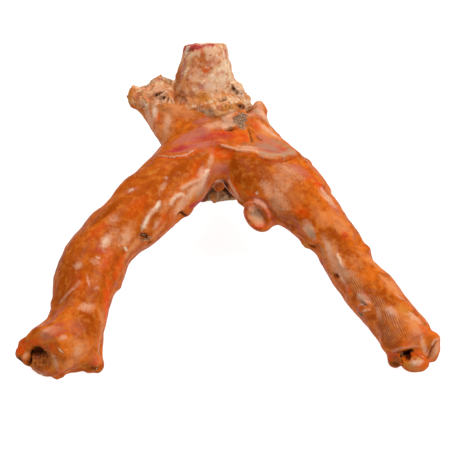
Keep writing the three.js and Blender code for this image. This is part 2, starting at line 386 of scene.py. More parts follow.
def beside(pixels, reach):
    """For the points near a line of pixels: which they are, how far along the line they are, and
    how far to its right, looking along it from outside."""
    line, normals = route(pixels)
    low, high = line.min(0) - reach, line.max(0) + reach
    near = np.flatnonzero(((skin.points > low) & (skin.points < high)).all(1))
    gap = np.linalg.norm(skin.points[near][:, None] - line[None], axis=2)
    closest, kept = gap.argmin(1), gap.min(1) < reach
    near, closest = near[kept], closest[kept]
    ahead = unit(np.gradient(line, axis=0))
    right = np.cross(ahead, normals)[closest]
    aside = ((skin.points[near] - line[closest]) * right).sum(1)
    return near, closest / (len(line) - 1), aside


def tapered(share):
    """1 along a line, falling to 0 at its two ends."""
    return smoothstep(0, LINE_ENDS, share) * smoothstep(0, LINE_ENDS, 1 - share)


def crease(pixels, width, height, masks):
    """A rib along a line of pixels, or a groove where height is below 0."""
    near, share, aside = beside(pixels, width * 2.5 + WOBBLE)
    points = skin.points[near]
    aside = aside + WOBBLE * (swells(points, 3.0, 12) + 0.5 * swells(points, 1.2, 13))
    fullness = 1 + 0.4 * swells(points, 3.6, 14)
    inside = np.exp(-((aside / (width * fullness)) ** 2)) * tapered(share)
    raise_by(near, inside * fullness * height)
    for name, strength in masks:
        skin.mark(name, inside * strength, near)


def sheet_edge(pixels, height, run, under_mask, strength):
    """A sheet of crust that lies over the surface on the left of a line and ends at the line, with
    a mask along the foot of its edge."""
    near, share, aside = beside(pixels, run)
    points = skin.points[near]
    aside = aside + 0.35 * swells(points, 2.4, 5) + 0.15 * swells(points, 0.9, 6)
    upper = 1 - smoothstep(-0.35, 0.35, aside)
    back = np.exp(-((np.minimum(aside, 0) / (0.5 * run)) ** 2))
    ends = tapered(share)
    thickness = height * (1 + 0.4 * swells(points, 4.0, 7))
    raise_by(near, upper * back * thickness * ends)
    skin.mark(under_mask, np.exp(-(((aside - 0.45) / 0.45) ** 2)) * ends * strength, near)


def shown_at(points):
    """The pixels of the photograph that points in space fall on."""
    offset = points - EYE
    depth = -(offset @ TO_EYE)
    half = PHOTO_SIDE / 2
    return half + FOCAL * (offset @ TO_RIGHT) / depth, half - FOCAL * (offset @ TO_TOP) / depth


# Crust: on the stem and the side stub, down to this line of pixels, and on the rear foot
CRUST_EDGE = [
    (110, 96), (133, 105), (143, 108), (150, 109), (157, 105), (166, 103), (176, 106), (187, 107),
    (197, 109), (205, 113), (213, 116), (222, 115), (232, 112), (240, 109), (250, 106), (262, 100),
    (290, 84),
]
# Columns and rows of pixels over which the kinds of crust change
STUB_COLUMN, STEM_COLUMN = 172, 182
HORN_COLUMNS = 228, 240
STEM_BASE_ROWS = 84, 98
# Where the foot begins, in millimetres from the middle and from the floor
FOOT_BACK = 16, 22
FOOT_TOP = 23, 17
across, down = shown_at(skin.points)
edge_down = np.interp(across, *np.array(CRUST_EDGE, float).T)
crust = smoothstep(-2.5, 2.5, edge_down - down + 3.2 * rough(skin.points, 4, 3, 40))
foot = smoothstep(*FOOT_BACK, skin.points[:, 1]) * smoothstep(*FOOT_TOP, skin.points[:, 2])
crust = np.maximum(crust, foot * (0.5 + 0.5 * smoothstep(-0.3, 0.5, swells(skin.points, 6, 41))))
skin.mark("crust", crust)
stub = crust * smoothstep(STEM_COLUMN, STUB_COLUMN, across)
stem_base = crust * smoothstep(*STEM_BASE_ROWS, down) * smoothstep(STUB_COLUMN, STEM_COLUMN, across)
beside_horn = crust * smoothstep(*HORN_COLUMNS, across)
roughest = np.clip(stub + 0.8 * stem_base + beside_horn + foot, 0, 1)

# Slow swells everywhere, also drawn out along the limbs, and small lumps and pits in the crust
MEAN_RADIUS = 9
DRAWN_OUT = 0.4  # a swell that follows a limb is longer along it by one over this
LIMBS_APART = 50  # so that no two limbs have the same swells
stretched = np.stack([turned[:, 0] * MEAN_RADIUS, turned[:, 1] * MEAN_RADIUS, along * DRAWN_OUT], axis=1)
smooth_part = 1 - crust
relief = 0.34 * swells(skin.points, 11, 1)
relief += 0.16 * swells(stretched + limb[:, None] * LIMBS_APART, 3.6, 2)
relief += smooth_part * (0.12 * swells(skin.points, 3.1, 3) + 0.045 * swells(skin.points, 1.3, 4))
plates = smoothstep(-0.05, 0.22, rough(skin.points, 3.4, 3, 8))
relief += crust * (0.16 + 0.34 * roughest) * (plates - 0.5)
relief += crust * (0.12 + 0.22 * roughest) * rough(skin.points, 2.2, 3, 9)
pit_places = smoothstep(0.05, 0.45, swells(skin.points, 5.0, 22) + 0.35 * roughest)
small_pits = (1 - smoothstep(0.08, 0.34, pores(skin.points, 1.7, 21))) * pit_places * crust
relief -= 0.6 * small_pits
standing = smoothstep(0.1, 1.6, resting)
skin.points += outward * (relief * standing)[:, None]
# The small pits are browned, partly with painted shade
skin.mark("brown_and_shade", small_pits)
skin.mark("pale", crust * 0.75 * smoothstep(0.1, 0.5, rough(skin.points, 3.0, 2, 23)) * (1 - roughest))

# Sheets of crust: the crest that crosses the fork, and the shelf under the stem
CREST = [
    (146, 163), (152, 160), (158, 157.5), (164, 157), (170, 157.5), (174, 158.5), (180, 157), (187, 155.5),
    (193, 152.5), (199, 150), (205, 147.5), (212, 146), (219, 145.5), (225, 147.5), (232, 150), (240, 152),
    (248, 153), (255, 154.5), (260, 157.5), (266, 160), (272, 160.5), (280, 160), (288, 157.5),
    (295, 154.5), (303, 152.5),
]
STEM_SHELF = [
    (186, 104), (192, 108), (199, 109), (205, 112), (211, 115), (220, 115.5), (229, 113), (237, 109),
    (244, 107), (249, 105),
]
sheet_edge(CREST, 0.6, 8, "ember", 0.7)
# The brown along the shelf's foot is painted shadow under its edge
sheet_edge(STEM_SHELF, 0.45, 6, "brown_and_shade", 0.5)

# Ribs and grooves: line of pixels, half width, height and masks with their strengths. The darkening in
# grooves, crevices, slits and under the crest is painted shade, and the pale streaks along ribs and edges are
# partly painted highlights.
CREASES = {
    "upper rib of the left branch": (
        [(208, 169.5), (205.5, 175), (200, 179.5), (194, 182), (188, 185), (182, 188.5), (179.5, 192)],
        1.15, 0.55, [("pale", 0.7)],
    ),
    "middle rib of the left branch": (
        [(186, 196.5), (181, 195), (176.5, 195.5), (173, 198.5), (170.5, 203), (169, 208)],
        1.1, 0.7, [("pale", 0.9)],
    ),
    "groove between the ribs": (
        [(198, 186), (192, 188), (186, 190.5), (180, 192.5)], 0.7, -0.45, [("tawny", 0.4)],
    ),
    "lower rib of the left branch": (
        [(161, 203), (157, 206), (153, 210), (149.5, 216), (146, 222), (143.5, 227), (142, 232)],
        0.95, 1.0, [("pale", 0.9)],
    ),
    "groove over the lower rib": ([(166, 196), (158, 200), (151, 208), (145, 217)], 1.0, -0.35, []),
    "groove under the lower rib": (
        [(165, 206), (159, 212), (154, 219), (150, 228)], 1.0, -0.7, [("deep_and_shade", 0.4)],
    ),
    "fold under the middle rib": (
        [(200, 191), (193, 195), (186, 199), (180, 205), (176, 211)], 1.0, -0.4, [("amber", 0.4)],
    ),
    "crevice under the left branch": (
        [(174, 221), (178, 218.5), (183, 216), (188, 214)], 0.6, -0.6, [("dark_and_shade", 0.8), ("brown_and_shade", 1.1)],
    ),
    "crest line, left": (
        [(150, 160.5), (158, 157), (164, 156.5), (174, 158), (187, 155), (199, 149.5)],
        0.3, 0.15, [("pale", 0.75)],
    ),
    "crest band, middle": (
        [(219, 145), (226, 147), (233, 149), (241, 151), (249, 151.5)], 0.6, 0.1, [("pale", 0.75)],
    ),
    "crest band, middle right": (
        [(240, 150), (249, 151), (257, 152.5), (262, 156)], 1.0, 0.1, [("pale", 0.7)],
    ),
    "crest band, right": (
        [(256, 151.5), (264, 155), (272, 156), (281, 155.5), (290, 152.5), (297, 149)], 1.6, 0.0,
        [("grey", 0.6), ("pale", 0.6)],
    ),
    "line under the crest, right": (
        [(258, 159.5), (266, 162), (273, 162.8), (281, 162), (290, 159), (297, 155.5)],
        0.45, -0.2, [("deep_and_shade", 1.1)],
    ),
    "edge of the cut": (
        [(182, 52), (185, 48.5), (189, 46.5), (196, 45.6), (204, 45.2), (213, 46)],
        0.9, 0.2, [("crimson", 1.2)],
    ),
    "notched corner of the cut": (
        [(186, 52), (190, 50), (194, 48.5)], 0.5, -0.5, [("brown_and_shade", 0.7), ("ember", 0.6)],
    ),
    "crest's inner line": (
        [(160, 150), (172, 151), (186, 149), (200, 144), (212, 141)], 0.35, 0.2, [("rose", 0.6)],
    ),
    "web fold, outer": ([(153, 108), (156, 118), (158, 128), (158, 139)], 1.3, 0.6, [("pale", 0.4)]),
    "web fold, inner": ([(175, 110), (174, 119), (172, 130), (170, 137)], 1.2, 0.5, [("deep_and_shade", 0.4)]),
    "stub fold 1": ([(143, 93), (149, 87), (156, 82), (163, 79)], 0.55, 0.4, [("rose", 0.7)]),
    "stub fold 2": ([(144, 95), (151, 91), (158, 87), (165, 85)], 0.5, 0.5, [("pale", 0.8)]),
    "stub fold 3": ([(148, 98), (155, 94), (162, 91), (169, 88)], 0.5, 0.5, [("pale", 0.6), ("ember", 0.5)]),
    "stub fold 4": ([(157, 98), (163, 94.5), (169, 92)], 0.5, 0.6, [("rose", 0.8), ("pale", 0.6)]),
    "stub fissure 1": ([(146, 92), (153, 87), (161, 83)], 0.3, -0.3, [("brown_and_shade", 0.5)]),
    "stub fissure 2": ([(148, 95), (155, 91.5), (163, 88), (170, 86)], 0.3, -0.35, [("brown_and_shade", 0.4)]),
    "stub fissure 3": ([(152, 96.5), (157, 94.8), (162, 92.5), (167, 90.5)], 0.35, -0.45, [("brown_and_shade", 0.6)]),
    "stub fissure 4": ([(159, 100.5), (164, 97.5), (170, 94)], 0.3, -0.35, [("brown_and_shade", 0.7)]),
    "stub fibre 1": ([(163, 103), (166, 99.5), (168, 96)], 0.35, 0.5, [("pale", 0.9)]),
    "stub fibre 2": ([(168, 105), (170, 101), (171, 96)], 0.35, 0.5, [("pale", 0.9)]),
    "stub fibre 3": ([(174, 105), (173, 101), (172, 97.5)], 0.35, 0.5, [("pale", 0.9)]),
    "fissure between the fibres": ([(165, 104), (168, 100), (170, 96.5)], 0.3, -0.35, [("brown_and_shade", 0.5)]),
    "crack, left": (
        [(247.5, 129), (249.5, 133), (251, 138), (252.5, 144)],
        0.32, -0.6, [("brown_and_shade", 1.2), ("dark_and_shade", 0.3)],
    ),
    "crack, right": ([(256, 135), (259, 138), (263, 142)], 0.32, -0.6, [("brown_and_shade", 1.2), ("dark_and_shade", 0.3)]),
    "crack beside the grains": ([(248, 128), (252, 131), (256, 134.5)], 0.28, -0.4, [("brown_and_shade", 0.9)]),
    "horn groove": ([(251, 108), (256, 112), (262, 117), (266, 124)], 0.8, -0.4, [("grey", 0.4)]),
    "horn stripe": (
        [(263, 116), (267, 121), (271, 129), (276, 137)], 0.6, 0.1, [("pale", 0.5), ("amber", 0.4)],
    ),
    "pale ridge low on the left branch": (
        [(82, 279), (76, 286), (70, 291), (63, 299), (58, 306)], 0.8, 0.35, [("pale", 0.45)],
    ),
    "slit of the left end": ([(33, 350), (32, 354), (30, 360), (28, 365)], 0.5, -1.4, [("dark_and_shade", 0.9)]),
    "edge over the slot": (
        [(391, 351), (398, 349.5), (405, 346.5), (413, 345.5), (421, 347)],
        0.55, 0.5, [("rose", 0.6), ("pale", 0.4)],
    ),
    "slot of the right end": (
        [(400, 357.5), (403, 354.5), (408, 351.5), (414.5, 349)], 0.6, -0.7, [("dark_and_shade", 1.0), ("brown_and_shade", 0.8)],
    ),
    "outer ring of the dome": (
        [(409, 355.5), (413, 353.5), (419, 353.5), (424, 357), (426, 363)], 0.45, 0.35, [("ember", 0.8)],
    ),
    "inner ring of the dome": (
        [(406, 364), (409, 360), (414, 357.5), (420, 358), (422.5, 362)], 0.35, 0.25, [("amber", 0.7)],
    ),
    "groove between the rings": (
        [(411, 356.8), (416, 355.2), (421, 356), (424, 361)], 0.3, -0.2, [("deep_and_shade", 0.8)],
    ),
    "line beside the left knob": ([(401, 359), (401.8, 363), (401.5, 368)], 0.35, -0.6, [("brown_and_shade", 1.0)]),
    "slit beside the right boss": (
        [(438, 341.5), (435, 343), (433, 346), (430, 350.5), (429, 355), (430.5, 361)],
        0.32, -0.5, [("brown_and_shade", 0.7)],
    ),
    "ridge of the right end": (
        [(439.5, 338.5), (435.5, 340), (432.5, 343), (431, 347)], 0.45, 0.35, [("pale", 0.6)],
    ),
    "small ridge beside the boss": ([(429, 349), (428, 353), (427.5, 357)], 0.4, 0.4, [("pale", 0.6)]),
    "crimson edge under the fork": (
        [(189, 208), (193, 205.5), (198, 202.5), (203, 200), (207, 198)], 0.9, 0.2, [("crimson", 1.3)],
    ),
    "edge of the right branch": (
        [(227, 179), (231, 184), (235, 190), (239, 197), (243, 203)],
        0.8, 0.5, [("pale", 0.75), ("rose", 0.4)],
    ),
    "rim of the lobe": (
        [(243.5, 207), (248, 203.5), (254, 202), (260, 204), (265, 208.5), (269, 214), (271, 220)],
        0.75, 0.7, [("ember", 0.8), ("peach", 0.6), ("pale", 0.35)],
    ),
    "shine on the lobe's rim": (
        [(250, 203), (256, 203), (261, 205.5), (266, 211)], 0.25, 0.05, [("painted_highlight", 0.4)],
    ),
    "groove outside the lobe's rim": (
        [(246, 200), (253, 198.5), (261, 200), (267, 205), (272, 212), (275, 219)],
        0.6, -0.35, [("rose", 0.5)],
    ),
    "ridge on the right branch": (
        [(336, 253), (339, 259), (342, 265), (345, 270)], 0.7, 0.4, [("pale", 0.7)],
    ),
}
for pixels, width, height, masks in CREASES.values():
    crease(pixels, width, height, masks)

# Pits: pixel, half length, half width, depth, angle, darkness. Each pit is darkened inside and browned round
# its rim, partly as its own dark matter and partly as painted shade.
PITS = {
    "upper stem pit": ((232.3, 88.3), 1.3, 0.75, 1.6, -50, 0.8),
    "lower stem pit": ((235.8, 92.3), 1.1, 0.7, 1.4, -45, 0.7),
    "front stem pit": ((223.6, 98.5), 1.2, 0.8, 1.2, 60, 0.5),
    "stem edge pit": ((239.0, 85.0), 0.9, 0.6, 0.9, 60, 0.4),
    "second stem edge pit": ((240.5, 97.0), 0.9, 0.6, 0.9, 70, 0.4),
    "shelf crevice": ((241.9, 106.3), 2.2, 0.6, 1.4, -5, 0.8),
    "notch beside the horn": ((251.5, 101.5), 1.7, 5.5, 5.4, 0, 0.0),
    "top of the stub": ((168.0, 79.5), 2.2, 3.0, 1.2, 0, 0.0),
    "crust slit": ((229.8, 129.4), 1.6, 0.5, 1.0, 15, 0.8),
    "stub pit": ((156.8, 94.8), 1.5, 0.5, 0.9, 25, 0.9),
    "stub recess": ((176.5, 96.5), 3.6, 2.2, 0.3, 65, 0.0),
    "edge below the lobe": ((288.5, 224.5), 3.2, 3.4, 1.5, -10, 0.0),
    "left side of the fork's arch": ((211.5, 187.5), 2.0, 1.3, 0.7, 50, 0.9),
    "right side of the fork's arch": ((226.5, 185.5), 2.2, 1.1, 0.7, -62, 0.9),
    "dip over the right side's bump": ((361.5, 239.0), 3.4, 3.2, 1.0, -50, 0.0),
    "dip under the right side's bump": ((378.5, 259.5), 4.6, 3.4, 1.4, -50, 0.0),
    "dip of the right branch's left side": ((324.0, 272.0), 4.6, 3.0, 1.0, -60, 0.0),
    "dip over the heel": ((102.0, 352.0), 2.2, 1.6, 0.8, 80, 0.0),
    "shin pit": ((142.5, 235.5), 1.7, 1.3, 1.0, -50, 0.4),
    "middle of the shin pit": ((146.0, 239.0), 1.7, 1.1, 0.8, -45, 0.35),
    "shin pit's lower corner": ((150.5, 243.3), 0.9, 0.6, 0.7, -35, 0.8),
    "small end pit": ((23.0, 358.5), 1.4, 0.7, 0.6, -50, 0.7),
    "heel pit": ((93.5, 369.5), 2.4, 1.1, 0.8, 8, 0.55),
    "right pit": ((335.4, 275.6), 0.6, 0.5, 0.4, 0, 0.35),
    "line under the elbow knob": ((312.0, 246.3), 2.0, 0.6, 0.8, 15, 0.6),
    "left pit of the right end": ((396.0, 364.5), 1.8, 0.8, 0.5, -20, 0.5),
    "gap under the pale oval": ((364.5, 303.2), 2.2, 0.5, 0.7, -25, 0.5),
    "inside of the cup": ((362.0, 313.6), 1.0, 0.9, 1.0, 0, 0.2),
    "left dark place under the fork": ((211.0, 191.5), 2.6, 1.6, 1.2, 55, 0.6),
    "right dark place under the fork": ((226.5, 191.0), 2.8, 1.4, 1.0, -60, 1.0),
}
for pixel, length, width, depth, angle, darkness in PITS.values():
    near, inside = push(pixel, length, width, -depth, angle)
    skin.mark("dark_and_shade", inside**2 * darkness, near)
    ring_near, ring = oval(pixel, length * 1.5, width * 1.5 + 0.3, angle, 0.3, 0.5)
    skin.mark("brown_and_shade", ring * darkness * 0.7, ring_near)

# Knobs, and a dimple in one of them: pixel, half length, half width, height, angle
KNOBS = {
    "pimple": ((345.2, 234.8), 1.1, 1.0, 0.7, 0),
    "red knob": ((319.6, 185.5), 1.7, 1.5, 0.9, 0),
    "lip of the elbow knob": ((315.5, 241.5), 1.5, 0.9, 0.7, 20),
    "orange drop": ((349.5, 293.8), 1.4, 0.9, 0.8, -40),
    "ring knob": ((364.3, 307.3), 2.6, 1.7, 1.5, 10),
    "cup under the ring knob": ((362.0, 313.6), 1.7, 1.5, 0.9, 0),
    "pale oval": ((363.2, 298.5), 2.9, 1.7, 0.8, -36),
    "second pale oval": ((390.5, 311.5), 2.4, 1.6, 0.5, -40),
    "bump on the right side": ((368.0, 249.5), 2.6, 1.8, 0.8, -50),
    "lower side of the left knob": ((21.5, 358.0), 3.0, 2.4, 1.8, 60),
    "neck of the lobe": ((242.5, 203.5), 2.2, 1.4, 0.9, -60),
    "knob on the left branch": ((118.5, 286.0), 1.5, 1.4, 0.7, 0),
    "highlight on the left branch": ((125.5, 249.0), 1.8, 1.2, 0.3, -35),
    "spot near the web": ((166.6, 178.3), 0.7, 0.7, 0.4, 0),
    "glassy centre of the right end": ((416.0, 362.0), 2.6, 1.6, 0.6, 10),
    "left end highlight": ((62.0, 350.0), 1.7, 0.8, 0.5, -35),
    "left end corner": ((45.0, 335.0), 2.0, 1.4, 0.3, 30),
    "crust knob by the grains": ((230.0, 118.0), 2.4, 1.5, 0.6, 40),
    "upper nub under the fork": ((219.8, 186.0), 2.3, 1.5, 2.0, 80),
    "lower nub under the fork": ((215.0, 196.0), 2.8, 1.5, 2.2, 78),
    "tip of the horn": ((258.5, 103.5), 1.6, 2.4, 0.8, 0),
    "crust knob beside the horn": ((242.0, 91.0), 2.6, 1.6, 0.7, -80),
    "bump in the lobe": ((253.0, 219.5), 1.8, 1.3, 0.9, 0),
    "small bump in the lobe": ((250.5, 211.0), 1.0, 0.9, 0.6, 0),
    "shoulder of the right end": ((433.0, 333.5), 4.2, 1.8, 0.8, -50),
    "orange bulge": ((176.0, 113.0), 3.4, 2.6, 0.7, 10),
    "bulge of the web": ((166.0, 106.0), 2.6, 1.6, 0.5, 10),
    "highlight of the ribs": ((207.2, 171.8), 1.0, 0.9, 0.3, 40),
    "dimple of the ring knob": ((364.8, 306.8), 0.9, 0.6, -0.8, 10),
}
for shape in KNOBS.values():
    push(*shape)

# The hollow left end: rough inside, and deepest at its top, where it is darkened with painted shade
LEFT_HOLLOW = (42.5, 358.0)
LEFT_HOLLOW_TOP = (40.0, 350.5)
near, inside = oval(LEFT_HOLLOW, 4.6, 4.2, 70, 0.1, 0.4)
crumbs = 0.45 * rough(skin.points[near], 2.4, 3, 61)
raise_by(near, inside * crumbs)
skin.mark("rust", inside * 1.1, near)
near, inside = oval(LEFT_HOLLOW_TOP, 3.8, 1.6, 12, 0.3, 0.6)
raise_by(near, -0.4 * inside)
skin.mark("dark_and_shade", inside * 0.75, near)

# The grainy patch, and the places with loose grains: pixel, half length, half width, strength
GRAINY_PATCH = (240.0, 120.0)
near, inside = oval(GRAINY_PATCH, 3.8, 3.2, 60, 0.7, 0.8)
grain_relief = 0.5 * pores(skin.points[near], 1.0, 71) - 0.5
raise_by(near, inside * grain_relief)
skin.mark("speckled", inside, near)
GRAINY = {
    "grainy patch": ((240, 119), 4.4, 3.6, 0.2), "shin pit": ((145, 238), 2.4, 1.6, 0.8),
    "hollow under the fork": ((217, 194), 5.0, 3.0, 0.12), "stub": ((160, 98), 5.5, 3.2, 0.08),
    "foot of the crust": ((236, 100), 4.0, 3.0, 0.12), "slot of the right end": ((403, 353.5), 1.2, 0.6, 0.3),
    "hollow left end": ((42.5, 360), 3.4, 3.0, 0.07), "heel pit": ((94, 370), 1.6, 0.8, 0.3),
}
for pixel, length, width, strength in GRAINY.values():
    near, inside = oval(pixel, length, width, 0, 0.4, 0.4)
    skin.mark("grains", inside * strength, near)
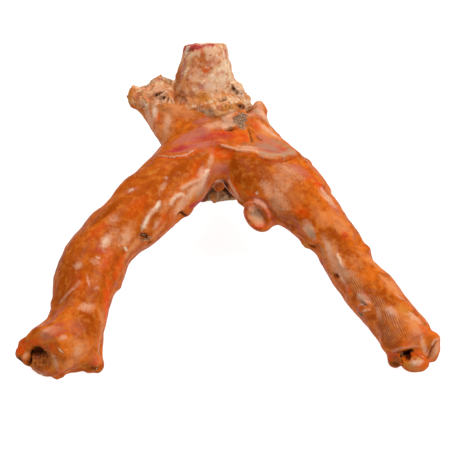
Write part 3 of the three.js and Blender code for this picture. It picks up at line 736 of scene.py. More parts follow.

# Colours: mask, pixel, half length, half width, angle, strength. Besides the coral's own colours, these paint
# light and shade: the small whitish spots are painted highlights, the darkest washes are painted shade in
# hollows, under ledges and on the shaded flanks, and some bright orange, peach and pale washes are painted
# light on the lit sides.
WASHES = [
    # stem: painted shade down its left side, in the recess by the stub and under the shelf, and painted light
    # on its right side
    ("painted_highlight", (187, 50.5), 1.4, 0.9, 60, 1.0), ("crimson", (225.5, 51), 2.4, 0.7, 85, 1.1),
    ("crimson", (196, 47), 4.6, 0.9, 2, 1.2), ("crimson", (184, 50.5), 1.4, 0.6, 70, 1.0),
    ("ember", (226, 55), 1.6, 0.6, 80, 0.6), ("tawny", (205, 58.5), 3.6, 2.0, -20, 1.2),
    ("tawny", (205.5, 69.5), 3.4, 2.2, 35, 1.2), ("ember", (205.5, 70), 1.8, 1.3, 20, 0.6),
    ("tawny", (194, 61), 3.6, 1.6, 60, 0.7), ("ember", (196, 50.5), 3.4, 0.8, 0, 0.8),
    ("rose", (213, 62), 2.6, 1.4, 30, 0.7), ("pale", (209, 53), 2.6, 1.4, 90, 0.9),
    ("pale", (197, 76), 2.4, 1.2, 60, 0.7), ("rose", (183, 68), 4.4, 1.4, 67, 0.9),
    ("tawny", (178, 78), 5.0, 2.2, 67, 1.0), ("rose", (190, 74), 2.4, 1.4, 67, 0.5),
    ("rose", (202, 86.5), 1.8, 1.4, 0, 0.9), ("peach", (186, 90), 4.4, 3.4, 60, 1.2),
    ("peach", (196, 97), 4.6, 2.6, 10, 1.0), ("pale", (186, 91), 1.4, 1.0, 0, 0.6),
    ("tawny", (195, 84), 2.2, 1.2, 0, 0.7), ("painted_highlight", (217, 80), 6.0, 4.0, 0, 0.45),
    ("painted_highlight", (226, 64), 6.5, 2.4, 80, 0.45), ("pale", (214, 90), 3.4, 2.4, 0, 0.6),
    ("painted_highlight", (231, 76), 4.6, 2.0, -75, 0.5), ("painted_highlight", (240, 90), 4.4, 2.4, -60, 0.4),
    ("rose", (222, 72), 1.4, 1.0, 0, 0.6), ("tawny", (219, 64), 1.6, 1.2, 0, 0.6),
    ("rose", (210, 84), 1.6, 1.2, 0, 0.7), ("amber", (222, 94), 2.0, 1.2, 0, 0.6),
    ("amber", (229, 107.5), 4.4, 1.2, 12, 1.1), ("brown_and_shade", (229, 109.5), 3.6, 0.7, 12, 0.5),
    ("tawny", (206, 107.5), 2.8, 1.4, -20, 1.0), ("grey", (210, 112), 3.6, 1.2, -15, 0.7),
    ("tawny", (212, 111), 3.0, 1.0, -15, 0.7), ("rose", (219, 108), 1.2, 1.0, 0, 0.8),
    ("amber", (204, 98), 2.6, 1.8, 10, 1.2), ("ember", (203.5, 97.5), 1.4, 0.9, 0, 0.6),
    ("tawny", (176, 97), 4.0, 1.8, 75, 1.1), ("brown_and_shade", (175, 98), 3.2, 0.9, 80, 0.4),
    ("rose", (235, 98), 2.4, 1.2, 60, 0.5), ("pale", (243, 95), 2.6, 1.4, -60, 0.9),
    # side stub, with a few painted highlights
    ("tawny", (131, 92), 3.0, 1.8, 60, 0.9), ("amber", (128.5, 98), 3.4, 1.4, 80, 0.9),
    ("peach", (136, 99), 3.0, 2.4, -20, 0.9), ("ember", (134, 108), 2.2, 0.8, -10, 0.6),
    ("rose", (143, 105), 1.6, 1.2, 0, 0.7), ("rose", (137, 97), 1.0, 0.9, 0, 0.7),
    ("pale", (142, 102), 1.8, 1.2, 0, 0.8), ("painted_highlight", (146, 105), 1.0, 0.7, 0, 0.8),
    ("peach", (151, 99.5), 4.0, 1.6, -15, 1.2), ("peach", (156, 89), 6.0, 2.0, 30, 0.8),
    ("ember", (148, 99), 2.4, 0.8, -25, 0.4), ("grey", (152, 83), 3.4, 1.0, 40, 0.6),
    ("pale", (161, 100), 3.0, 1.6, 20, 0.9), ("rose", (159, 79), 1.6, 0.8, 0, 0.8),
    ("pale", (156, 91), 4.4, 1.8, 30, 0.7), ("painted_highlight", (164, 93), 2.2, 0.6, 35, 0.7),
    ("pale", (249, 112), 3.0, 1.6, -50, 0.5), ("rose", (260, 110), 2.4, 1.6, -50, 0.6),
    ("peach", (168, 99), 3.0, 1.8, 60, 0.8),
    # under the crust, with a painted highlight down the web's left fold
    ("amber", (144, 123), 7.5, 1.8, -62, 0.8), ("pale", (149, 117), 4.6, 2.0, -60, 0.85),
    ("pale", (147, 128), 4.6, 1.0, -60, 0.6), ("pale", (155, 113), 3.0, 1.3, 85, 1.1),
    ("painted_highlight", (154.8, 112), 1.8, 0.5, 85, 0.8), ("ember", (158.5, 119), 3.0, 0.6, 85, 0.6),
    ("peach", (165, 135), 5.0, 2.6, 80, 1.1), ("peach", (167, 124), 5.0, 3.0, 88, 0.8),
    ("pale", (167, 124), 4.0, 1.5, 88, 0.6), ("peach", (172, 110), 6.0, 2.6, 0, 1.1),
    ("amber", (164, 107), 3.0, 1.2, 10, 0.5), ("peach", (186, 113), 4.6, 2.2, -15, 0.8),
    ("deep_and_shade", (174, 124), 5.0, 1.0, 84, 0.5), ("rose", (201, 121), 3.0, 2.0, 20, 0.8),
    ("tawny", (214, 119), 4.0, 1.6, 10, 0.8), ("pale", (215, 125), 4.6, 1.8, 10, 0.6),
    ("pale", (228, 124.5), 3.0, 1.6, 20, 1.1), ("pale", (228, 117), 3.0, 1.6, 40, 0.8),
    ("amber", (225, 114), 3.0, 1.2, 0, 0.8), ("rose", (238, 124), 2.2, 1.4, 0, 0.5),
    ("rose", (192, 137), 8.0, 3.0, 28, 1.0), ("crimson", (178, 150), 5.0, 1.8, 28, 0.8),
    ("crimson", (211, 137), 7.0, 1.8, 10, 0.6), ("crimson", (223, 136), 4.0, 1.6, 5, 0.6),
    ("ember", (222, 133), 5.0, 1.6, 8, 0.8), ("rose", (200, 146), 6.0, 1.4, 16, 1.0),
    ("rose", (183, 152), 4.0, 1.2, 20, 0.8), ("crimson", (217, 143), 4.0, 0.7, 8, 0.5),
    ("ember", (240, 137), 4.4, 2.4, -10, 0.8), ("amber", (252, 138), 2.0, 1.0, -80, 0.5),
    ("tawny", (250, 146), 4.0, 1.8, 0, 0.9), ("ember", (256, 124), 3.2, 1.6, -45, 0.6),
    ("peach", (262, 126), 3.6, 1.6, -50, 1.0), ("peach", (259, 104), 3.0, 2.4, -40, 1.0),
    ("grey", (253, 108), 3.0, 1.6, -40, 0.7), ("rose", (255, 113), 3.0, 1.2, -50, 0.7),
    ("pale", (259, 106), 2.4, 1.4, -60, 0.5), ("pale", (265, 116), 5.0, 1.6, -58, 0.85),
    ("rose", (250, 107), 1.6, 1.2, 0, 0.6), ("rose", (272, 143), 3.8, 2.4, -40, 0.7),
    ("grey", (283, 144), 4.6, 1.3, -35, 0.6), ("grey", (271, 127), 4.4, 0.6, -60, 0.5),
    ("pale", (271, 132), 4.6, 1.4, -52, 0.7), ("rose", (264, 138), 3.4, 1.8, -40, 0.7),
    ("peach", (268, 136), 5.0, 2.6, -50, 0.6),
    ("rose", (271, 149), 5.0, 3.0, -8, 1.1), ("crimson", (270, 152), 2.4, 1.4, -5, 0.35),
    ("crimson", (284, 149), 2.6, 1.2, -20, 0.45), ("rose", (290, 151), 3.0, 1.2, -25, 0.5),
    ("grey", (268, 147), 4.4, 2.4, -5, 0.6), ("pale", (248, 148.5), 3.6, 1.2, -5, 0.7),
    ("rose", (258, 151), 0.8, 0.8, 0, 0.8),
    # under the crest: painted shadow below its edge, painted highlights on the ribs, and painted shade in the
    # hollow under the fork
    ("ember", (222, 152), 5.4, 2.4, -20, 0.8), ("deep_and_shade", (200, 157), 7.0, 3.0, 20, 0.5),
    ("ember", (196, 170), 5.0, 2.4, 50, 0.5), ("deep_and_shade", (178, 172), 8.0, 4.0, 45, 0.8),
    ("deep_and_shade", (250, 171), 10.0, 5.0, -30, 1.0), ("deep_and_shade", (262, 163), 6.5, 1.2, -4, 0.8),
    ("rose", (219, 169), 3.0, 2.4, 20, 0.8), ("crimson", (226, 172), 2.4, 0.9, 20, 0.4),
    ("pale", (211, 160), 3.4, 1.0, 75, 0.6), ("painted_highlight", (207, 171.5), 1.1, 0.7, 50, 0.9),
    ("rose", (205, 180), 4.4, 2.4, 62, 0.9), ("pale", (202.5, 181.5), 4.8, 2.0, 62, 0.8),
    ("painted_highlight", (204.5, 178), 3.0, 0.7, 62, 0.5), ("pale", (193, 190.5), 6.4, 1.6, 36, 0.75),
    ("peach", (194, 191), 6.4, 2.2, 36, 0.8), ("amber", (196, 194), 4.6, 0.9, 36, 0.5),
    ("painted_highlight", (177, 196), 2.6, 0.6, 25, 0.5), ("rose", (201, 185), 2.6, 1.0, 60, 0.6),
    ("grey", (199, 194), 3.0, 1.0, 40, 0.6), ("grey", (204, 190), 2.4, 1.0, 55, 0.8),
    ("peach", (185, 201), 6.0, 2.4, 38, 1.1), ("pale", (181, 205.5), 4.4, 1.4, 42, 0.65),
    ("rose", (185, 203), 3.0, 1.0, 38, 0.6), ("peach", (177, 209), 4.0, 2.2, 42, 0.7),
    ("ember", (172, 216), 3.6, 1.4, 45, 0.4), ("peach", (166, 207), 3.0, 1.6, 60, 0.7),
    ("ember", (236, 188), 4.4, 1.1, -62, 0.5), ("rose", (228, 178), 1.4, 0.8, -60, 0.8),
    ("pale", (220, 181.5), 1.6, 1.2, 0, 1.1), ("ember", (220.5, 187), 1.8, 1.6, 0, 1.2),
    ("amber", (215, 196.5), 3.0, 1.6, 80, 1.2), ("rose", (220, 183), 1.6, 1.0, 0, 0.9),
    ("painted_highlight", (219.5, 182), 0.9, 0.6, 0, 0.9), ("peach", (220, 185), 1.4, 1.0, 0, 0.8),
    ("dark_and_shade", (213.5, 187), 1.6, 0.9, 60, 0.5), ("dark_and_shade", (226, 186), 1.6, 0.7, -65, 0.8),
    ("dark_and_shade", (209.5, 193.5), 2.6, 1.2, 45, 0.5), ("dark_and_shade", (228, 193), 3.0, 1.1, -60, 0.8),
    ("grey", (206, 198), 2.0, 1.2, 30, 0.8), ("grey", (231, 198), 1.6, 1.2, -40, 0.8),
    ("dark_and_shade", (214, 191), 1.6, 0.8, 70, 0.7), ("crimson", (203, 200), 2.6, 0.8, 30, 1.1),
    # left branch: painted shade along its left side, painted light along its right and lower side, and
    # painted highlights
    ("rose", (131, 190), 2.6, 1.2, 20, 0.7), ("painted_highlight", (131, 190), 1.2, 0.7, 20, 0.55),
    ("amber", (151, 173), 2.4, 1.0, 25, 0.6), ("pale", (166, 178), 0.8, 0.7, 0, 0.8),
    ("rose", (148, 158), 4.4, 2.0, 40, 0.5), ("brown_and_shade", (150, 166), 3.0, 1.0, 40, 0.35),
    ("deep_and_shade", (150, 192), 8.0, 6.0, 40, 0.6), ("pale", (163, 187), 2.8, 1.0, 60, 0.45),
    ("ember", (138, 206), 6.0, 3.0, 45, 0.45), ("ember", (119, 268), 5.0, 1.8, 60, 0.8),
    ("ember", (107, 304), 8.0, 1.8, 78, 1.1), ("peach", (158, 231), 5.0, 1.4, 45, 0.7),
    ("ember", (80, 284), 5.0, 3.0, 60, 0.4), ("ember", (96, 232), 5.0, 2.4, 55, 0.5),
    ("peach", (102, 322), 5.0, 2.0, 78, 0.6), ("peach", (133, 248), 6.0, 1.8, 45, 0.9),
    ("deep_and_shade", (105, 213), 8.0, 2.2, 50, 1.0), ("deep_and_shade", (73, 287), 7.0, 2.2, 75, 0.9),
    ("painted_highlight", (157.5, 206), 2.2, 0.8, 60, 0.8), ("painted_highlight", (145.5, 223), 2.8, 0.5, 65, 0.8),
    ("grey", (160, 208), 1.6, 0.8, 60, 0.5), ("pale", (157, 224), 2.4, 1.2, 60, 0.6),
    ("ember", (162, 220), 4.2, 1.6, 55, 0.5), ("deep_and_shade", (118, 222), 8.0, 5.0, 48, 0.45),
    ("pale", (105.8, 241.5), 3.4, 1.8, 65, 0.7), ("painted_highlight", (105.5, 241), 1.8, 0.9, 60, 0.5),
    ("rose", (99, 244), 2.2, 1.6, 20, 0.4), ("painted_highlight", (125.5, 249), 1.2, 0.6, -40, 0.8),
    ("crimson", (99, 250), 4.0, 1.4, 5, 0.45), ("pale", (125, 238), 3.4, 2.0, 60, 0.5),
    ("pale", (113.5, 219.5), 2.4, 2.0, 0, 0.45), ("peach", (128, 234), 4.6, 2.6, 60, 0.7),
    ("pale", (115, 232), 3.0, 2.4, 40, 0.3), ("peach", (116, 240), 5.0, 2.4, 40, 0.5),
    ("pale", (95, 262), 2.0, 1.4, 0, 0.4),
    ("pale", (78, 266), 1.6, 1.4, 0, 0.6), ("painted_highlight", (97.5, 257.5), 0.9, 0.6, 0, 0.4),
    ("deep_and_shade", (68, 272), 9.0, 5.0, 62, 0.7), ("deep_and_shade", (92, 245), 7.0, 4.0, 55, 0.4),
    ("deep_and_shade", (59, 264), 8.0, 2.0, 68, 1.0), ("deep_and_shade", (76, 232), 7.0, 2.0, 52, 0.8),
    ("deep_and_shade", (62, 295), 6.0, 2.4, 80, 0.7),
    ("deep_and_shade", (88, 272), 6.0, 4.4, 60, 0.4), ("ember", (106, 262), 5.0, 3.0, 60, 0.5),
    ("pale", (88, 280), 2.2, 0.5, -80, 0.6), ("pale", (97, 288), 1.2, 0.7, 20, 0.4),
    ("rose", (116, 285), 1.4, 1.2, 0, 0.8), ("deep_and_shade", (92, 297), 5.0, 4.4, 0, 0.6),
    ("pale", (87, 307), 2.8, 1.8, 20, 0.6), ("deep_and_shade", (88, 322), 4.6, 5.0, 0, 0.9),
    ("rose", (58, 312), 5.0, 1.8, 62, 0.5), ("rose", (75, 326), 3.4, 3.0, 20, 0.45),
    ("rose", (51, 331), 5.0, 2.2, 30, 0.6), ("crimson", (60, 324), 2.6, 1.0, 20, 0.4),
    ("peach", (48, 332), 5.0, 2.0, 30, 0.6), ("pale", (46, 330), 2.4, 0.8, 30, 0.5),
    ("crimson", (60, 333), 3.4, 0.8, 30, 0.45), ("pale", (63, 337.5), 1.8, 1.0, 20, 0.55),
    ("amber", (50, 341), 4.0, 0.8, 20, 0.6), ("ember", (36, 342), 5.0, 1.4, 20, 0.6),
    ("ember", (21, 346), 2.8, 2.2, 60, 0.9), ("deep_and_shade", (22, 352), 2.6, 1.6, 60, 0.6),
    ("pale", (26, 356), 1.6, 1.0, 60, 0.6), ("brown_and_shade", (22, 358.5), 1.4, 0.8, -50, 0.7),
    ("pale", (55.5, 363), 3.4, 1.2, -82, 0.5), ("rust", (49, 356), 3.4, 1.6, 88, 0.8),
    ("crimson", (92, 362), 2.2, 1.6, 0, 0.4), ("painted_highlight", (94.5, 369), 0.6, 0.4, 0, 0.9),
    ("crimson", (46, 349), 2.4, 1.2, 0, 0.5), ("amber", (33, 362), 2.2, 1.4, 60, 0.6),
    ("amber", (52.5, 363), 3.4, 1.2, 85, 0.7), ("rose", (41, 371), 4.4, 1.0, -10, 0.7),
    ("pale", (38, 372), 3.4, 0.7, -10, 0.6), ("ember", (61, 372), 1.8, 1.8, 0, 0.6),
    ("painted_highlight", (61.2, 350.2), 1.2, 0.35, -40, 1.0), ("ember", (52, 346), 2.4, 1.6, -40, 0.6),
    ("peach", (80, 350), 4.4, 3.4, 80, 0.8), ("pale", (78, 351), 2.4, 2.0, 80, 0.35),
    ("ember", (97, 360), 2.4, 2.0, 0, 0.5), ("pale", (100, 348), 2.0, 1.0, 70, 0.6),
    ("peach", (72, 363), 4.4, 2.4, 10, 0.6), ("amber", (84, 365), 3.4, 1.4, 10, 0.5),
    # right branch: painted shade along its left side and low places, and painted highlights
    ("tawny", (285, 192), 8.0, 4.4, -65, 0.8), ("pale", (278, 197), 6.0, 2.8, -65, 0.42),
    ("grey", (276, 206), 4.6, 2.4, -70, 0.5), ("tawny", (286, 173), 7.0, 4.0, -30, 0.7),
    ("pale", (289, 171), 6.0, 3.0, -40, 0.4), ("pale", (283, 182), 5.0, 3.0, -60, 0.35),
    ("peach", (333, 262), 9.0, 3.0, -60, 0.9), ("rose", (336, 268), 7.0, 2.0, -60, 0.45),
    ("pale", (338, 270), 7.5, 2.0, -60, 0.45), ("peach", (372, 262), 6.0, 1.8, -50, 0.6),
    ("pale", (268, 190), 4.4, 2.0, -60, 0.5), ("ember", (309, 175), 4.4, 3.6, -50, 0.5),
    ("rose", (316, 172), 5.0, 1.2, -60, 0.5), ("deep_and_shade", (301, 192), 5.0, 3.0, -50, 0.5),
    ("ember", (320, 186), 2.2, 2.0, 0, 1.1), ("brown_and_shade", (323.5, 186), 1.1, 0.9, 0, 0.9),
    ("painted_highlight", (323, 190.5), 1.2, 0.5, -30, 0.6), ("pale", (328, 198), 4.0, 1.8, -62, 0.7),
    ("rose", (334, 208), 3.0, 1.8, -60, 0.6), ("ember", (302, 211), 4.0, 2.2, -40, 0.7),
    ("deep_and_shade", (303, 212), 6.0, 3.4, -40, 0.9), ("pale", (309, 230), 3.4, 2.0, -55, 0.8),
    ("peach", (322, 217), 4.4, 2.4, -55, 0.6), ("rose", (300, 170), 4.0, 2.4, -40, 0.7),
    ("grey", (311, 234), 2.4, 1.6, -55, 0.6), ("rose", (299, 229), 4.0, 1.4, -60, 0.5),
    ("amber", (304, 245), 1.9, 1.3, 0, 0.9), ("ember", (301, 242), 2.0, 1.6, -50, 0.6),
    ("crimson", (316, 240), 1.8, 0.7, 20, 0.5), ("rose", (286, 222), 3.4, 0.9, 0, 0.4),
    ("deep_and_shade", (334, 236), 6.0, 3.0, -45, 0.9), ("deep_and_shade", (346, 252), 6.0, 2.2, -50, 0.8),
    ("peach", (341, 225), 6.0, 3.0, -55, 0.7), ("crimson", (345, 235.5), 1.5, 1.4, 0, 0.3),
    ("ember", (345, 235.5), 1.8, 1.6, 0, 0.7), ("painted_highlight", (345.5, 234.5), 0.5, 0.5, 0, 0.7),
    ("pale", (329, 251), 5.0, 1.2, -62, 0.7), ("grey", (322, 252), 3.0, 1.0, -60, 0.5),
    ("painted_highlight", (339.5, 259), 2.4, 0.6, -66, 0.5), ("grey", (343, 270), 4.0, 1.6, -58, 0.4),
    ("pale", (341, 264), 4.0, 1.2, -62, 0.6), ("rose", (341, 270), 3.0, 1.4, -58, 0.5),
    ("pale", (345, 272), 3.6, 1.4, -58, 0.5), ("peach", (356, 262), 4.0, 2.0, -50, 0.5),
    ("pale", (352, 276), 2.6, 1.4, -50, 0.4), ("painted_highlight", (340.5, 280), 1.0, 0.6, -50, 0.5),
    ("brown_and_shade", (335.8, 274), 1.2, 0.9, -60, 0.4), ("ember", (348, 291), 2.2, 1.5, -40, 0.7),
    ("brown_and_shade", (357, 288), 4.6, 2.4, -52, 0.35), ("amber", (349.8, 294), 0.8, 0.7, 0, 1.0),
    ("rose", (363.2, 298.5), 3.0, 1.8, -36, 0.9), ("pale", (363, 299), 2.7, 1.5, -36, 0.8),
    ("painted_highlight", (360, 295.5), 1.3, 0.4, -36, 0.5), ("crimson", (361, 308), 2.2, 1.2, 40, 0.55),
    ("painted_highlight", (366.5, 309.5), 1.6, 0.6, 15, 0.9), ("painted_highlight", (362.5, 304.5), 1.4, 0.5, 15, 0.8),
    ("crimson", (364.8, 306.8), 0.8, 0.6, 0, 1.1), ("rose", (361.5, 313), 2.2, 1.8, 0, 0.7),
    ("grey", (362, 313.6), 1.2, 1.1, 0, 1.1), ("brown_and_shade", (358, 312), 1.6, 0.7, -60, 0.6),
    ("deep_and_shade", (372, 296), 5.0, 2.0, -50, 1.0), ("pale", (379, 314), 3.0, 1.0, -60, 0.5),
    ("pale", (391, 312), 2.8, 1.6, -45, 0.7), ("rose", (390, 313), 2.8, 1.8, -45, 0.4),
    ("amber", (404, 311), 3.4, 2.2, -50, 0.8), ("peach", (392, 286), 4.4, 2.4, -50, 1.0),
    ("rose", (400, 291), 2.4, 1.2, -50, 0.5), ("pale", (400, 297), 2.0, 1.0, -45, 0.5),
    ("deep_and_shade", (386, 297), 5.6, 2.6, -50, 0.9), ("pale", (414, 317), 3.0, 1.6, -50, 0.6),
    ("deep_and_shade", (390, 319), 4.4, 2.4, -55, 0.7),
    ("peach", (416, 325), 4.4, 3.0, -50, 0.9), ("deep_and_shade", (386, 332), 6.0, 3.4, -60, 0.9),
    ("brown_and_shade", (381, 322), 3.0, 1.6, -60, 0.5), ("deep_and_shade", (398, 326), 4.0, 3.0, -60, 0.6),
    ("rose", (417, 337), 3.4, 3.0, 0, 0.4), ("ember", (424, 330), 3.0, 1.4, -50, 0.6),
    ("pale", (424, 346), 4.2, 1.0, -65, 0.6), ("ember", (407, 344), 2.2, 1.4, 0, 0.6),
    ("deep_and_shade", (394, 343), 3.0, 2.4, -60, 0.6), ("amber", (409.5, 366), 2.4, 1.2, -10, 1.0),
    ("ember", (412, 354), 3.4, 1.2, 20, 0.6), ("ember", (424, 364), 2.0, 2.0, 0, 0.5),
    ("ember", (404, 364), 2.0, 1.6, 60, 0.7), ("peach", (413, 369), 4.0, 1.0, -5, 0.5),
    ("pale", (416.5, 362.5), 2.3, 1.3, 10, 0.9), ("painted_highlight", (413.5, 363), 0.9, 0.5, 10, 0.4),
    ("painted_highlight", (421.5, 356.5), 0.9, 0.3, -30, 0.4), ("deep_and_shade", (394, 358), 2.4, 2.0, -70, 1.1),
    ("ember", (392, 355), 1.6, 1.4, -60, 0.8), ("rust", (395, 360), 2.0, 1.2, -60, 0.6),
    ("brown_and_shade", (395, 365), 2.6, 1.1, -15, 0.9), ("crimson", (395, 353), 2.4, 0.8, 10, 0.5),
    ("ember", (391, 359), 1.4, 1.0, -60, 1.0), ("crimson", (398, 360), 1.4, 0.8, 60, 0.4),
    ("pale", (436, 351), 3.4, 1.2, 80, 0.45), ("peach", (97, 358), 3.0, 2.4, 0, 0.6),
    ("painted_highlight", (404.5, 352.8), 1.0, 0.4, 30, 0.6), ("ember", (418, 366), 3.0, 0.8, -10, 0.6),
    ("peach", (436, 350), 3.6, 1.4, 80, 1.0), ("rose", (437, 345), 2.2, 1.2, 80, 0.4),
    ("ember", (432, 358), 1.6, 1.2, 80, 0.5), ("painted_highlight", (433.5, 342), 1.2, 0.3, 60, 0.5),
    ("painted_highlight", (405, 352.2), 0.7, 0.35, 20, 0.8),
    # the ear-like lobe: painted shade in its recess and painted highlights on its rim
    ("ember", (258, 199), 5.0, 1.4, -20, 0.7), ("crimson", (270, 215), 3.4, 0.7, -55, 0.5),
    ("rose", (261, 202), 3.6, 1.2, -25, 0.9), ("pale", (261, 203), 3.0, 0.9, -30, 0.6),
    ("rose", (252, 206), 2.4, 0.7, 10, 0.7), ("pale", (256, 216), 3.8, 2.8, -60, 0.75),
    ("amber", (255, 220), 2.4, 1.8, 0, 0.6), ("grey", (255, 213), 3.0, 2.4, -50, 0.6),
    ("brown_and_shade", (262, 214), 3.4, 0.8, -60, 0.6), ("deep_and_shade", (264, 216), 3.4, 0.6, -60, 0.6),
    ("pale", (254, 221), 1.6, 1.2, 0, 0.7), ("painted_highlight", (253, 220.5), 0.8, 0.6, 0, 0.6),
    ("ember", (257, 227.5), 3.4, 0.9, 0, 1.0), ("painted_highlight", (252, 211), 0.6, 0.6, 0, 0.8),
    ("crimson", (246, 214), 3.6, 0.5, -72, 0.7), ("rose", (262, 224), 2.0, 0.8, 20, 0.5),
    ("painted_highlight", (257, 193), 0.6, 0.6, 0, 0.7), ("rose", (272, 223), 2.2, 1.0, 20, 0.6),
]
for name, pixel, length, width, angle, strength in WASHES:
    near, inside = oval(pixel, length, width, angle, 0.3, 0.75)
    skin.mark(name, inside * strength, near)

# Places with fine lines along the right branch: pixel, half length, half width, angle, strength
LINED = [
    ((267, 177), 5.0, 2.6, -60, 0.25), ((356, 284), 5.6, 2.6, -55, 1.0), ((392, 325), 7.6, 4.2, -60, 0.8),
    ((378, 306), 6.0, 2.4, -60, 0.7), ((413, 340), 4.4, 3.6, -60, 0.4),
]
for pixel, length, width, angle, strength in LINED:
    near, inside = oval(pixel, length, width, angle, 0.35, 0.5)
    skin.mark("lines", inside * strength, near)

# The foot under the fork is darker and browner than the crust above, and grey-brown in front
front = smoothstep(0.3, 0.8, -outward[:, 1])
skin.mark("rust", foot * crust * (0.75 + 0.4 * swells(skin.points, 3.0, 51)) * (1 - 0.8 * front))
skin.mark("brown_and_shade", foot * crust * smoothstep(-0.1, 0.5, rough(skin.points, 2.6, 2, 52)))
skin.mark("grey", foot * crust * front * 0.9)

# Two small nubs that hang in front of the foot stay orange
NUBS = ((219.8, 186.0), (215.0, 196.5))
for pixel in NUBS:
    near, inside = oval(pixel, 2.8, 1.8, 78)
    for name in ("crust", "rust", "grey", "brown_and_shade", "dark_and_shade"):
        skin.mask(name)[near] *= 1 - inside

# The broken end of the stem is crimson, but for its right side
STEM_END = unit(np.array([-0.1, 3.4, 7.4]))
CUT_HEIGHTS = 62, 64
CUT_COLUMNS = 217, 211
cut = smoothstep(0.55, 0.8, outward @ STEM_END) * smoothstep(*CUT_HEIGHTS, skin.points[:, 2])
skin.mark("crimson", 1.2 * cut * smoothstep(*CUT_COLUMNS, across))

# The left branch is deeper in colour than the right one, but not at its ends
left_branch = limb == list(LIMBS).index("left")
NEAR_END = 10, 24
FAR_END = 106, 90
deeper = 0.34 * left_branch * smoothstep(*NEAR_END, along) * smoothstep(*FAR_END, along)
skin.mark("deep_and_shade", deeper * smooth_part)

# Where the outline is moved across the picture: pixel, reach, and how far to the right and up
OUTLINE = {
    "notch beside the horn": ((253.0, 99.0), 3.8, -1.8, -2.4),
    "tip of the horn": ((258.8, 102.5), 2.6, 0.0, 1.6),
    "right side under the horn's tip": ((272.5, 121.0), 3.4, -0.8, 0.1),
    "right side of the horn": ((275.5, 131.0), 3.0, 0.5, 0.3),
    "side behind the crest": ((311.0, 160.0), 2.4, -0.4, -0.5),
    "knob beside the horn": ((241.5, 83.5), 2.4, -0.8, -0.6),
    "notch under the left branch": ((180.0, 218.5), 2.6, -0.5, 1.1),
    "lip over that notch": ((189.5, 212.0), 2.4, 0.3, -0.6),
    "top of the fork's arch": ((219.0, 182.5), 3.4, 0.0, 0.9),
    "upper side of the left branch": ((122.0, 186.0), 5.0, -0.7, 0.6),
    "bend of the left branch": ((89.0, 217.0), 4.0, -0.4, 0.4),
    "inner bend of the left branch": ((137.0, 259.5), 6.4, -1.1, 1.0),
    "ankle's left side": ((53.5, 308.0), 3.6, -1.0, 0.0),
    "corner over the left end": ((46.0, 320.0), 3.2, 0.6, -0.7),
    "dip over the right side's bump": ((362.5, 242.0), 2.8, -1.1, -0.6),
    "left side over the drop": ((337.0, 289.0), 4.8, 1.4, 0.6),
    "left side over the right end": ((375.5, 335.0), 3.2, 1.0, 0.4),
    "corner before the lobe": ((284.0, 227.5), 2.6, 0.3, 1.0),
    "elbow's left side": ((298.5, 243.5), 2.8, 1.3, 0.4),
    "foot of the right boss": ((434.0, 358.5), 2.4, -0.5, -1.2),
    "chin of the left end": ((66.0, 377.0), 2.6, -1.0, 0.3),
}
for pixel, reach, right, up in OUTLINE.values():
    near, inside = oval(pixel, reach, reach, 0, 0.0, 0.6)
    skin.points[near] += inside[:, None] * (TO_RIGHT * right + TO_TOP * up)

# The feet stay flat
skin.points[:, 2] = np.maximum(skin.points[:, 2], 0)

STRONGEST = 1.2  # a mask a little over 1 leaves no gaps in its layer
for name, strengths in skin.masks.items():
    skin.masks[name] = np.clip(strengths, 0, STRONGEST)
skin.write()
limb_layer = skin.mesh.attributes.new("limb_place", "FLOAT_VECTOR", "POINT")
limb_layer.data.foreach_set("vector", turned.astype(np.float32).ravel())
skin.mesh.polygons.foreach_set("use_smooth", np.ones(len(skin.mesh.polygons), bool))
coral = new_object("coral_skin", skin.mesh)
print("skin triangles", len(skin.triangles))


# Materials
LIT = 0.70  # the surface's own colour as a share of the colour it shows under the studio's light


def linear(code):
    """The surface's linear colour, from the six-digit hex code of the colour it shows."""
    parts = [int(code[k : k + 2], 16) / 255 for k in (1, 3, 5)]
    shown = [((c + 0.055) / 1.055) ** 2.4 if c > 0.04 else c / 12.92 for c in parts]
    return (*[c * LIT for c in shown], 1.0)


class Wiring:
    """Adds nodes to a tree and joins them. An input given as a socket is joined, and any other
    value is set on the input itself."""

    def __init__(self, tree):
        self.tree = tree

    def fill(self, node, inputs):
        for name, value in dict(inputs).items():
            if isinstance(value, bpy.types.NodeSocket):
                self.tree.links.new(value, node.inputs[name])
            else:
                node.inputs[name].default_value = value

    def add(self, kind, inputs=(), out=0, **settings):
        node = self.tree.nodes.new(kind)
        for name, value in settings.items():
            setattr(node, name, value)
        self.fill(node, inputs)
        return node.outputs[out]

    def maths(self, operation, *values):
        return self.add("ShaderNodeMath", dict(enumerate(values)), operation=operation)

    def place(self):
        """The object's own coordinates in millimetres."""
        objects = self.add("ShaderNodeTexCoord", out="Object")
        return self.add("ShaderNodeVectorMath", {0: objects, "Scale": 1 / MM}, operation="SCALE")

    def noise(self, place, scale, detail=2.0, roughness=0.5):
        inputs = {"Vector": place, "Scale": scale, "Detail": detail, "Roughness": roughness}
        return self.add("ShaderNodeTexNoise", inputs)

    def stepped(self, value, low, high, to_low=0.0, to_high=1.0):
        inputs = {
            "Value": value, "From Min": low, "From Max": high, "To Min": to_low, "To Max": to_high,
        }
        return self.add("ShaderNodeMapRange", inputs, interpolation_type="SMOOTHSTEP")

    def blended(self, share, under, over):
        """A colour between two others."""
        return self.add("ShaderNodeMix", {0: share, 6: under, 7: over}, out=2, data_type="RGBA")

    def between(self, share, low, high):
        """A number between two others."""
        return self.add("ShaderNodeMix", {0: share, 2: low, 3: high}, data_type="FLOAT")

    def swayed(self, value, cloud, sway):
        """A value that goes up and down with a noise."""
        middled = self.maths("SUBTRACT", cloud, 0.5)
        return self.maths("ADD", value, self.maths("MULTIPLY", middled, sway))


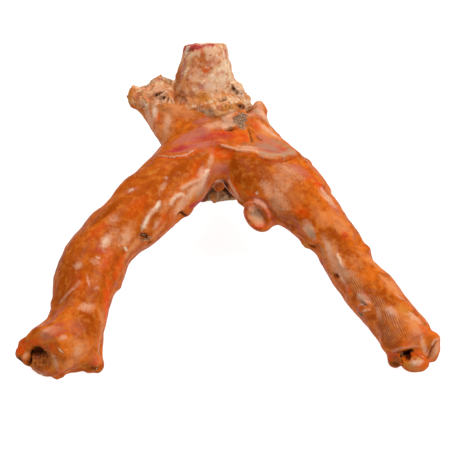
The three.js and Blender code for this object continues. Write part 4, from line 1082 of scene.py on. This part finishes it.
def node_group(kind, name, inputs, outputs):
    """The wiring, inputs and output node of a new node group with named sockets."""
    tree = bpy.data.node_groups.new(name, kind)
    for direction, sockets in (("INPUT", inputs), ("OUTPUT", outputs)):
        for socket, carried in sockets.items():
            tree.interface.new_socket(socket, in_out=direction, socket_type=f"NodeSocket{carried}")
    return Wiring(tree), tree.nodes.new("NodeGroupInput").outputs, tree.nodes.new("NodeGroupOutput")


def new_material(name):
    """A new material, and the wiring and shader of its tree."""
    made = bpy.data.materials.new(name)
    made.use_nodes = True
    return made, Wiring(made.node_tree), made.node_tree.nodes["Principled BSDF"]


# A layer of colour with a cloudy edge, laid where a mask asks for it
wire, ins, out = node_group(
    "ShaderNodeTree",
    "colour_layer",
    {
        "Under": "Color", "Over": "Color", "Mask": "Float", "Cloud": "Float", "Softness": "Float",
        "Cover": "Float",
    },
    {"Colour": "Color", "Amount": "Float"},
)
layer_group = wire.tree
low = wire.maths("SUBTRACT", 0.5, ins["Softness"])
high = wire.maths("ADD", 0.5, ins["Softness"])
amount = wire.stepped(wire.swayed(ins["Mask"], ins["Cloud"], 0.8), low, high)
amount = wire.maths("MULTIPLY", amount, wire.stepped(ins["Mask"], 0.02, 0.25))
amount = wire.maths("MULTIPLY", amount, ins["Cover"])
wire.fill(out, {"Colour": wire.blended(amount, ins["Under"], ins["Over"]), "Amount": amount})

# Fine lines that run along a limb
LINE_COUNT = 71.0  # round a limb
LINE_TWIST = -0.026  # radians for each millimetre along it
wire, ins, out = node_group(
    "ShaderNodeTree",
    "growth_lines",
    {"Limb Place": "Vector", "Wobble": "Float", "Count": "Float"},
    {"Line": "Float"},
)
line_group = wire.tree
parts = wire.add("ShaderNodeSeparateXYZ", {0: ins["Limb Place"]}).node.outputs
angle = wire.maths("ARCTAN2", parts["Y"], parts["X"])
winding = wire.maths("MULTIPLY_ADD", parts["Z"], LINE_TWIST, angle)
phase = wire.maths("MULTIPLY_ADD", winding, ins["Count"], ins["Wobble"])
wire.fill(out, {"Line": wire.maths("MULTIPLY_ADD", wire.maths("SINE", phase), 0.5, 0.5)})

surface, wire, shader = new_material("coral_surface")
place = wire.place()


def mask(name):
    return wire.add("ShaderNodeAttribute", out="Fac", attribute_name=name)


def laid(under, over, where, cloud, softness, cover=1.0):
    """The colour with a layer over it, and how much of the layer there is."""
    inputs = {
        "Under": under, "Over": over, "Mask": where, "Cloud": cloud, "Softness": softness,
        "Cover": cover,
    }
    layer = wire.add("ShaderNodeGroup", inputs, node_tree=layer_group).node
    return layer.outputs["Colour"], layer.outputs["Amount"]


amounts = {}


def layered(colour, layers):
    """The colour with layers over it: the hex code, mask, cloud, softness and cover of each."""
    for code, name, cloud, softness, cover in layers:
        colour, amounts[name] = laid(colour, linear(code), mask(name), cloud, softness, cover)
    return colour


def toned(colour, tones):
    """The colour with other tones over it, each where a noise goes from low to high: the noise,
    low, high, the tone's largest share and its hex code."""
    for noise, low, high, share, code in tones:
        colour = wire.blended(wire.stepped(noise, low, high, 0.0, share), colour, linear(code))
    return colour


wide = wire.noise(place, 0.10, 3.0)
middling = wire.noise(place, 0.33, 3.0)
close = wire.noise(place, 1.0, 3.0, 0.6)
grain = wire.noise(place, 3.2, 2.0, 0.6)
flecks = wire.noise(place, 0.45, 4.0, 0.6)
mottle = wire.noise(place, 0.62, 4.0, 0.62)
limb_place = wire.add("ShaderNodeAttribute", out="Vector", attribute_name="limb_place")
drawn_out = wire.add(
    "ShaderNodeVectorMath", {0: limb_place, 1: (9.0, 9.0, 0.3)}, operation="MULTIPLY",
)
streaks = wire.noise(drawn_out, 0.5, 4.0, 0.6)

# The smooth coral's ground, and the crust's
colour = wire.blended(wire.stepped(middling, 0.35, 0.68), linear("#B64E0A"), linear("#DE6A12"))
colour, _ = laid(colour, linear("#DC6A18"), wire.stepped(wide, 0.48, 0.62), close, 0.5, 0.7)
colour = toned(colour, [
    (mottle, 0.52, 0.72, 0.35, "#DE7A1C"), (streaks, 0.55, 0.75, 0.35, "#E0862C"),
    (streaks, 0.42, 0.25, 0.4, "#983E04"),
])
crust_tan = wire.blended(wire.stepped(middling, 0.38, 0.62), linear("#E09A66"), linear("#F4CA9A"))
crust_tan = toned(crust_tan, [
    (wire.noise(place, 0.24, 2.0), 0.48, 0.62, 1.0, "#EBA072"),
    (wire.noise(place, 0.55, 3.0, 0.6), 0.52, 0.62, 0.8, "#FCE0BC"),
    (wire.noise(place, 0.36, 3.0), 0.54, 0.64, 0.8, "#CC743A"),
    (wire.noise(place, 1.9, 3.0, 0.65), 0.59, 0.7, 0.5, "#A4623A"),
    (streaks, 0.55, 0.72, 0.4, "#C98458"),
])
crust_mask = mask("crust")
crusted = wire.stepped(wire.swayed(crust_mask, close, 0.7), 0.3, 0.7)
crusted = wire.maths("MULTIPLY", crusted, wire.stepped(crust_mask, 0.02, 0.2))
colour = wire.blended(crusted, colour, crust_tan)

# The washes, among them painted highlights, painted light and painted shade, the growth lines, and the
# crumbly and speckled places
colour = layered(colour, [
    ("#A64400", "deep_and_shade", middling, 0.5, 1.0), ("#BE6632", "tawny", close, 0.5, 0.95),
    ("#E28C54", "peach", close, 0.5, 0.9), ("#E24E08", "ember", close, 0.5, 1.0),
])
colour = toned(colour, [
    (flecks, 0.48, 0.66, 0.35, "#E48C3A"), (flecks, 0.48, 0.34, 0.3, "#963E08"),
])
line_wobble = wire.maths("MULTIPLY", middling, 9.0)
lines = wire.add(
    "ShaderNodeGroup",
    {"Limb Place": limb_place, "Wobble": line_wobble, "Count": LINE_COUNT},
    node_tree=line_group,
)
line_strength = wire.maths("MULTIPLY", mask("lines"), wire.stepped(middling, 0.3, 0.5))
line_amount = wire.maths("MULTIPLY", lines, line_strength)
between_lines = wire.maths("SUBTRACT", line_strength, line_amount)
colour = layered(colour, [
    ("#D28230", "amber", close, 0.5, 0.8), ("#C46C58", "rose", close, 0.5, 0.85),
    ("#B42436", "crimson", close, 0.5, 0.9), ("#ECB894", "pale", close, 0.5, 0.8),
    ("#A88A6C", "grey", close, 0.5, 0.8), ("#F8DFC2", "painted_highlight", close, 0.5, 0.8),
])
colour = wire.blended(wire.maths("MULTIPLY", between_lines, 0.4), colour, linear("#8E4210"))
colour = wire.blended(wire.maths("MULTIPLY", line_amount, 0.4), colour, linear("#E9B284"))
crumbly = wire.blended(wire.stepped(close, 0.38, 0.64), linear("#963A0C"), linear("#BC6E2E"))
colour, _ = laid(colour, crumbly, mask("rust"), close, 0.4)
specks = wire.stepped(wire.noise(place, 2.6, 2.0, 0.7), 0.46, 0.6)
speckled = wire.blended(specks, linear("#74503A"), linear("#C69C7C"))
speckled_share = wire.maths("ADD", mask("speckled"), wire.maths("MULTIPLY", close, 0.6))
colour = wire.blended(wire.stepped(speckled_share, 0.6, 1.15), colour, speckled)
colour = layered(colour, [
    ("#8A4414", "brown_and_shade", close, 0.5, 0.9), ("#431C0A", "dark_and_shade", close, 0.4, 1.0),
])

# The crust, the grey places and the darkest places, which are partly painted shade, are matte and rougher to
# the touch
BUMP_HEIGHT = 0.4
matte = wire.maths("MAXIMUM", crusted, wire.maths("MAXIMUM", amounts["grey"], amounts["dark_and_shade"]))
gloss_break = wire.stepped(close, 0.3, 0.75, 0.36, 0.55)
height = wire.maths("MULTIPLY", grain, wire.between(matte, 0.10, 0.9))
height = wire.maths("ADD", height, wire.maths("MULTIPLY", close, wire.between(matte, 0.5, 1.0)))
height = wire.maths("MULTIPLY_ADD", line_amount, 0.35, height)
bump = wire.add(
    "ShaderNodeBump", {"Height": height, "Strength": 0.5, "Distance": BUMP_HEIGHT * MM}, out="Normal",
)
wire.fill(shader, {
    "Base Color": colour,
    "Roughness": wire.between(matte, gloss_break, 0.75),
    "Coat Weight": wire.between(matte, 0.04, 0.0),
    "Coat Roughness": 0.16,
    "Coat IOR": 1.4,
    "Specular IOR Level": 0.03,
    "Normal": bump,
})
skin.mesh.materials.append(surface)

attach(coral, "root")
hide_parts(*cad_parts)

# Loose grains in the grainy patch and the pits, redder in the hollow left end
LEFT_END_FROM, LEFT_END_FULL = -48.0, -52.0
grain_surface, wire, grain_shader = new_material("crust_grain")
place = wire.place()
shade = wire.stepped(wire.noise(place, 1.1, 2.0, 0.6), 0.38, 0.62)
tan = wire.blended(shade, linear("#8E6648"), linear("#D8B090"))
red_brown = wire.blended(shade, linear("#8A340A"), linear("#A85418"))
across_object = wire.add("ShaderNodeSeparateXYZ", {0: place}, out="X")
in_left_end = wire.stepped(across_object, LEFT_END_FROM, LEFT_END_FULL)
wire.fill(grain_shader, {
    "Base Color": wire.blended(in_left_end, tan, red_brown),
    "Roughness": wire.stepped(wire.noise(place, 3.0), 0.3, 0.7, 0.6, 0.85),
    "Specular IOR Level": 0.2,
})


def grain_tree():
    """Small faceted grains, sunk a little into the surface where its "grains" mask asks for them."""
    wire, given, out = node_group(
        "GeometryNodeTree",
        "loose_grains",
        {
            "Surface": "Geometry", "Spacing": "Float", "Most": "Float", "Smallest": "Float",
            "Largest": "Float", "Seed": "Int", "Material": "Material",
        },
        {"Grains": "Geometry"},
    )
    asked = wire.add(
        "GeometryNodeInputNamedAttribute", {"Name": "grains"}, "Attribute", data_type="FLOAT",
    )
    scattered = wire.add(
        "GeometryNodeDistributePointsOnFaces",
        {
            "Mesh": given["Surface"], "Distance Min": given["Spacing"], "Density Max": given["Most"],
            "Density Factor": asked, "Seed": given["Seed"],
        },
        "Points",
        distribute_method="POISSON",
    )
    ball = wire.add("GeometryNodeMeshIcoSphere", {"Radius": 1.0, "Subdivisions": 1}, "Mesh")
    size = wire.add(
        "FunctionNodeRandomValue",
        {"Min": given["Smallest"], "Max": given["Largest"], "Seed": given["Seed"]},
        "Value",
        data_type="FLOAT_VECTOR",
    )
    turn = wire.add(
        "FunctionNodeRandomValue", {"Max": [math.tau] * 3}, "Value", data_type="FLOAT_VECTOR",
    )
    placed = wire.add(
        "GeometryNodeInstanceOnPoints",
        {"Points": scattered, "Instance": ball, "Rotation": turn, "Scale": size},
        "Instances",
    )
    real = wire.add("GeometryNodeRealizeInstances", {"Geometry": placed}, "Geometry")
    dressed = {"Geometry": real, "Material": given["Material"]}
    wire.fill(out, {"Grains": wire.add("GeometryNodeSetMaterial", dressed, "Geometry")})
    return wire.tree


bed = new_object("grain_bed", skin.mesh.copy())
scatter = bed.modifiers.new("grains", "NODES")
scatter.node_group = grain_tree()
GRAIN_VALUES = {
    "Spacing": 0.42 * MM, "Most": 6 / MM**2, "Smallest": 0.16 * MM, "Largest": 0.42 * MM, "Seed": SEED,
    "Material": grain_surface,
}
for socket in scatter.node_group.interface.items_tree:
    if socket.name in GRAIN_VALUES:
        scatter[socket.identifier] = GRAIN_VALUES[socket.name]
grains_mesh = finished_mesh(bed)
bpy.data.meshes.remove(bed.data)
grains_mesh.name = "crust_grains"
crust_grains = new_object("crust_grains", grains_mesh)
print("grain triangles", len(grains_mesh.polygons))
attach(crust_grains, "root")

# Floor, camera and light
FLOOR_REACH = 2.5
floor_mesh = bpy.data.meshes.new("floor")
corners = [
    (x * FLOOR_REACH, y * FLOOR_REACH, 0) for x, y in ((-1, -1), (1, -1), (1, 1), (-1, 1))
]
floor_mesh.from_pydata(corners, [], [(0, 1, 2, 3)])
floor = new_object("floor", floor_mesh)
white, wire, floor_shader = new_material("pale_floor")
wire.fill(floor_shader, {
    "Base Color": (0.2, 0.2, 0.2, 1),
    "Roughness": 0.8,
    "Emission Color": (1, 1, 1, 1),
    "Emission Strength": 0.92,
})
floor_mesh.materials.append(white)

camera_data = bpy.data.cameras.new("photo_camera")
camera_data.lens = LENS
camera_data.sensor_width = SENSOR
camera = new_object("photo_camera", camera_data)
camera.location = EYE * MM
camera.rotation_euler = (math.pi / 2 - ELEVATION, 0, 0)
bpy.context.scene.camera = camera

world = bpy.data.worlds.new("studio")
world.use_nodes = True
sky = world.node_tree.nodes["Background"]
Wiring(world.node_tree).fill(sky, {"Color": (1, 1, 1, 1), "Strength": 0.25})
bpy.context.scene.world = world
bpy.context.scene.view_settings.view_transform = "Standard"

# Place and side in metres, and power in watts
LAMPS = {
    "softbox_left": ((-0.45, 0.05, 0.85), 0.4, 5.2),
    "softbox_right": ((0.6, -0.3, 0.7), 0.4, 8.3),
    "softbox_back": ((0.1, 0.7, 0.7), 0.5, 3.3),
}
for name, (spot, size, power) in LAMPS.items():
    lamp_data = bpy.data.lights.new(name, "AREA")
    lamp_data.energy = power
    lamp_data.size = size
    lamp = new_object(name, lamp_data)
    lamp.location = spot
    lamp.rotation_euler = (-Vector(spot)).to_track_quat("-Z", "Y").to_euler()
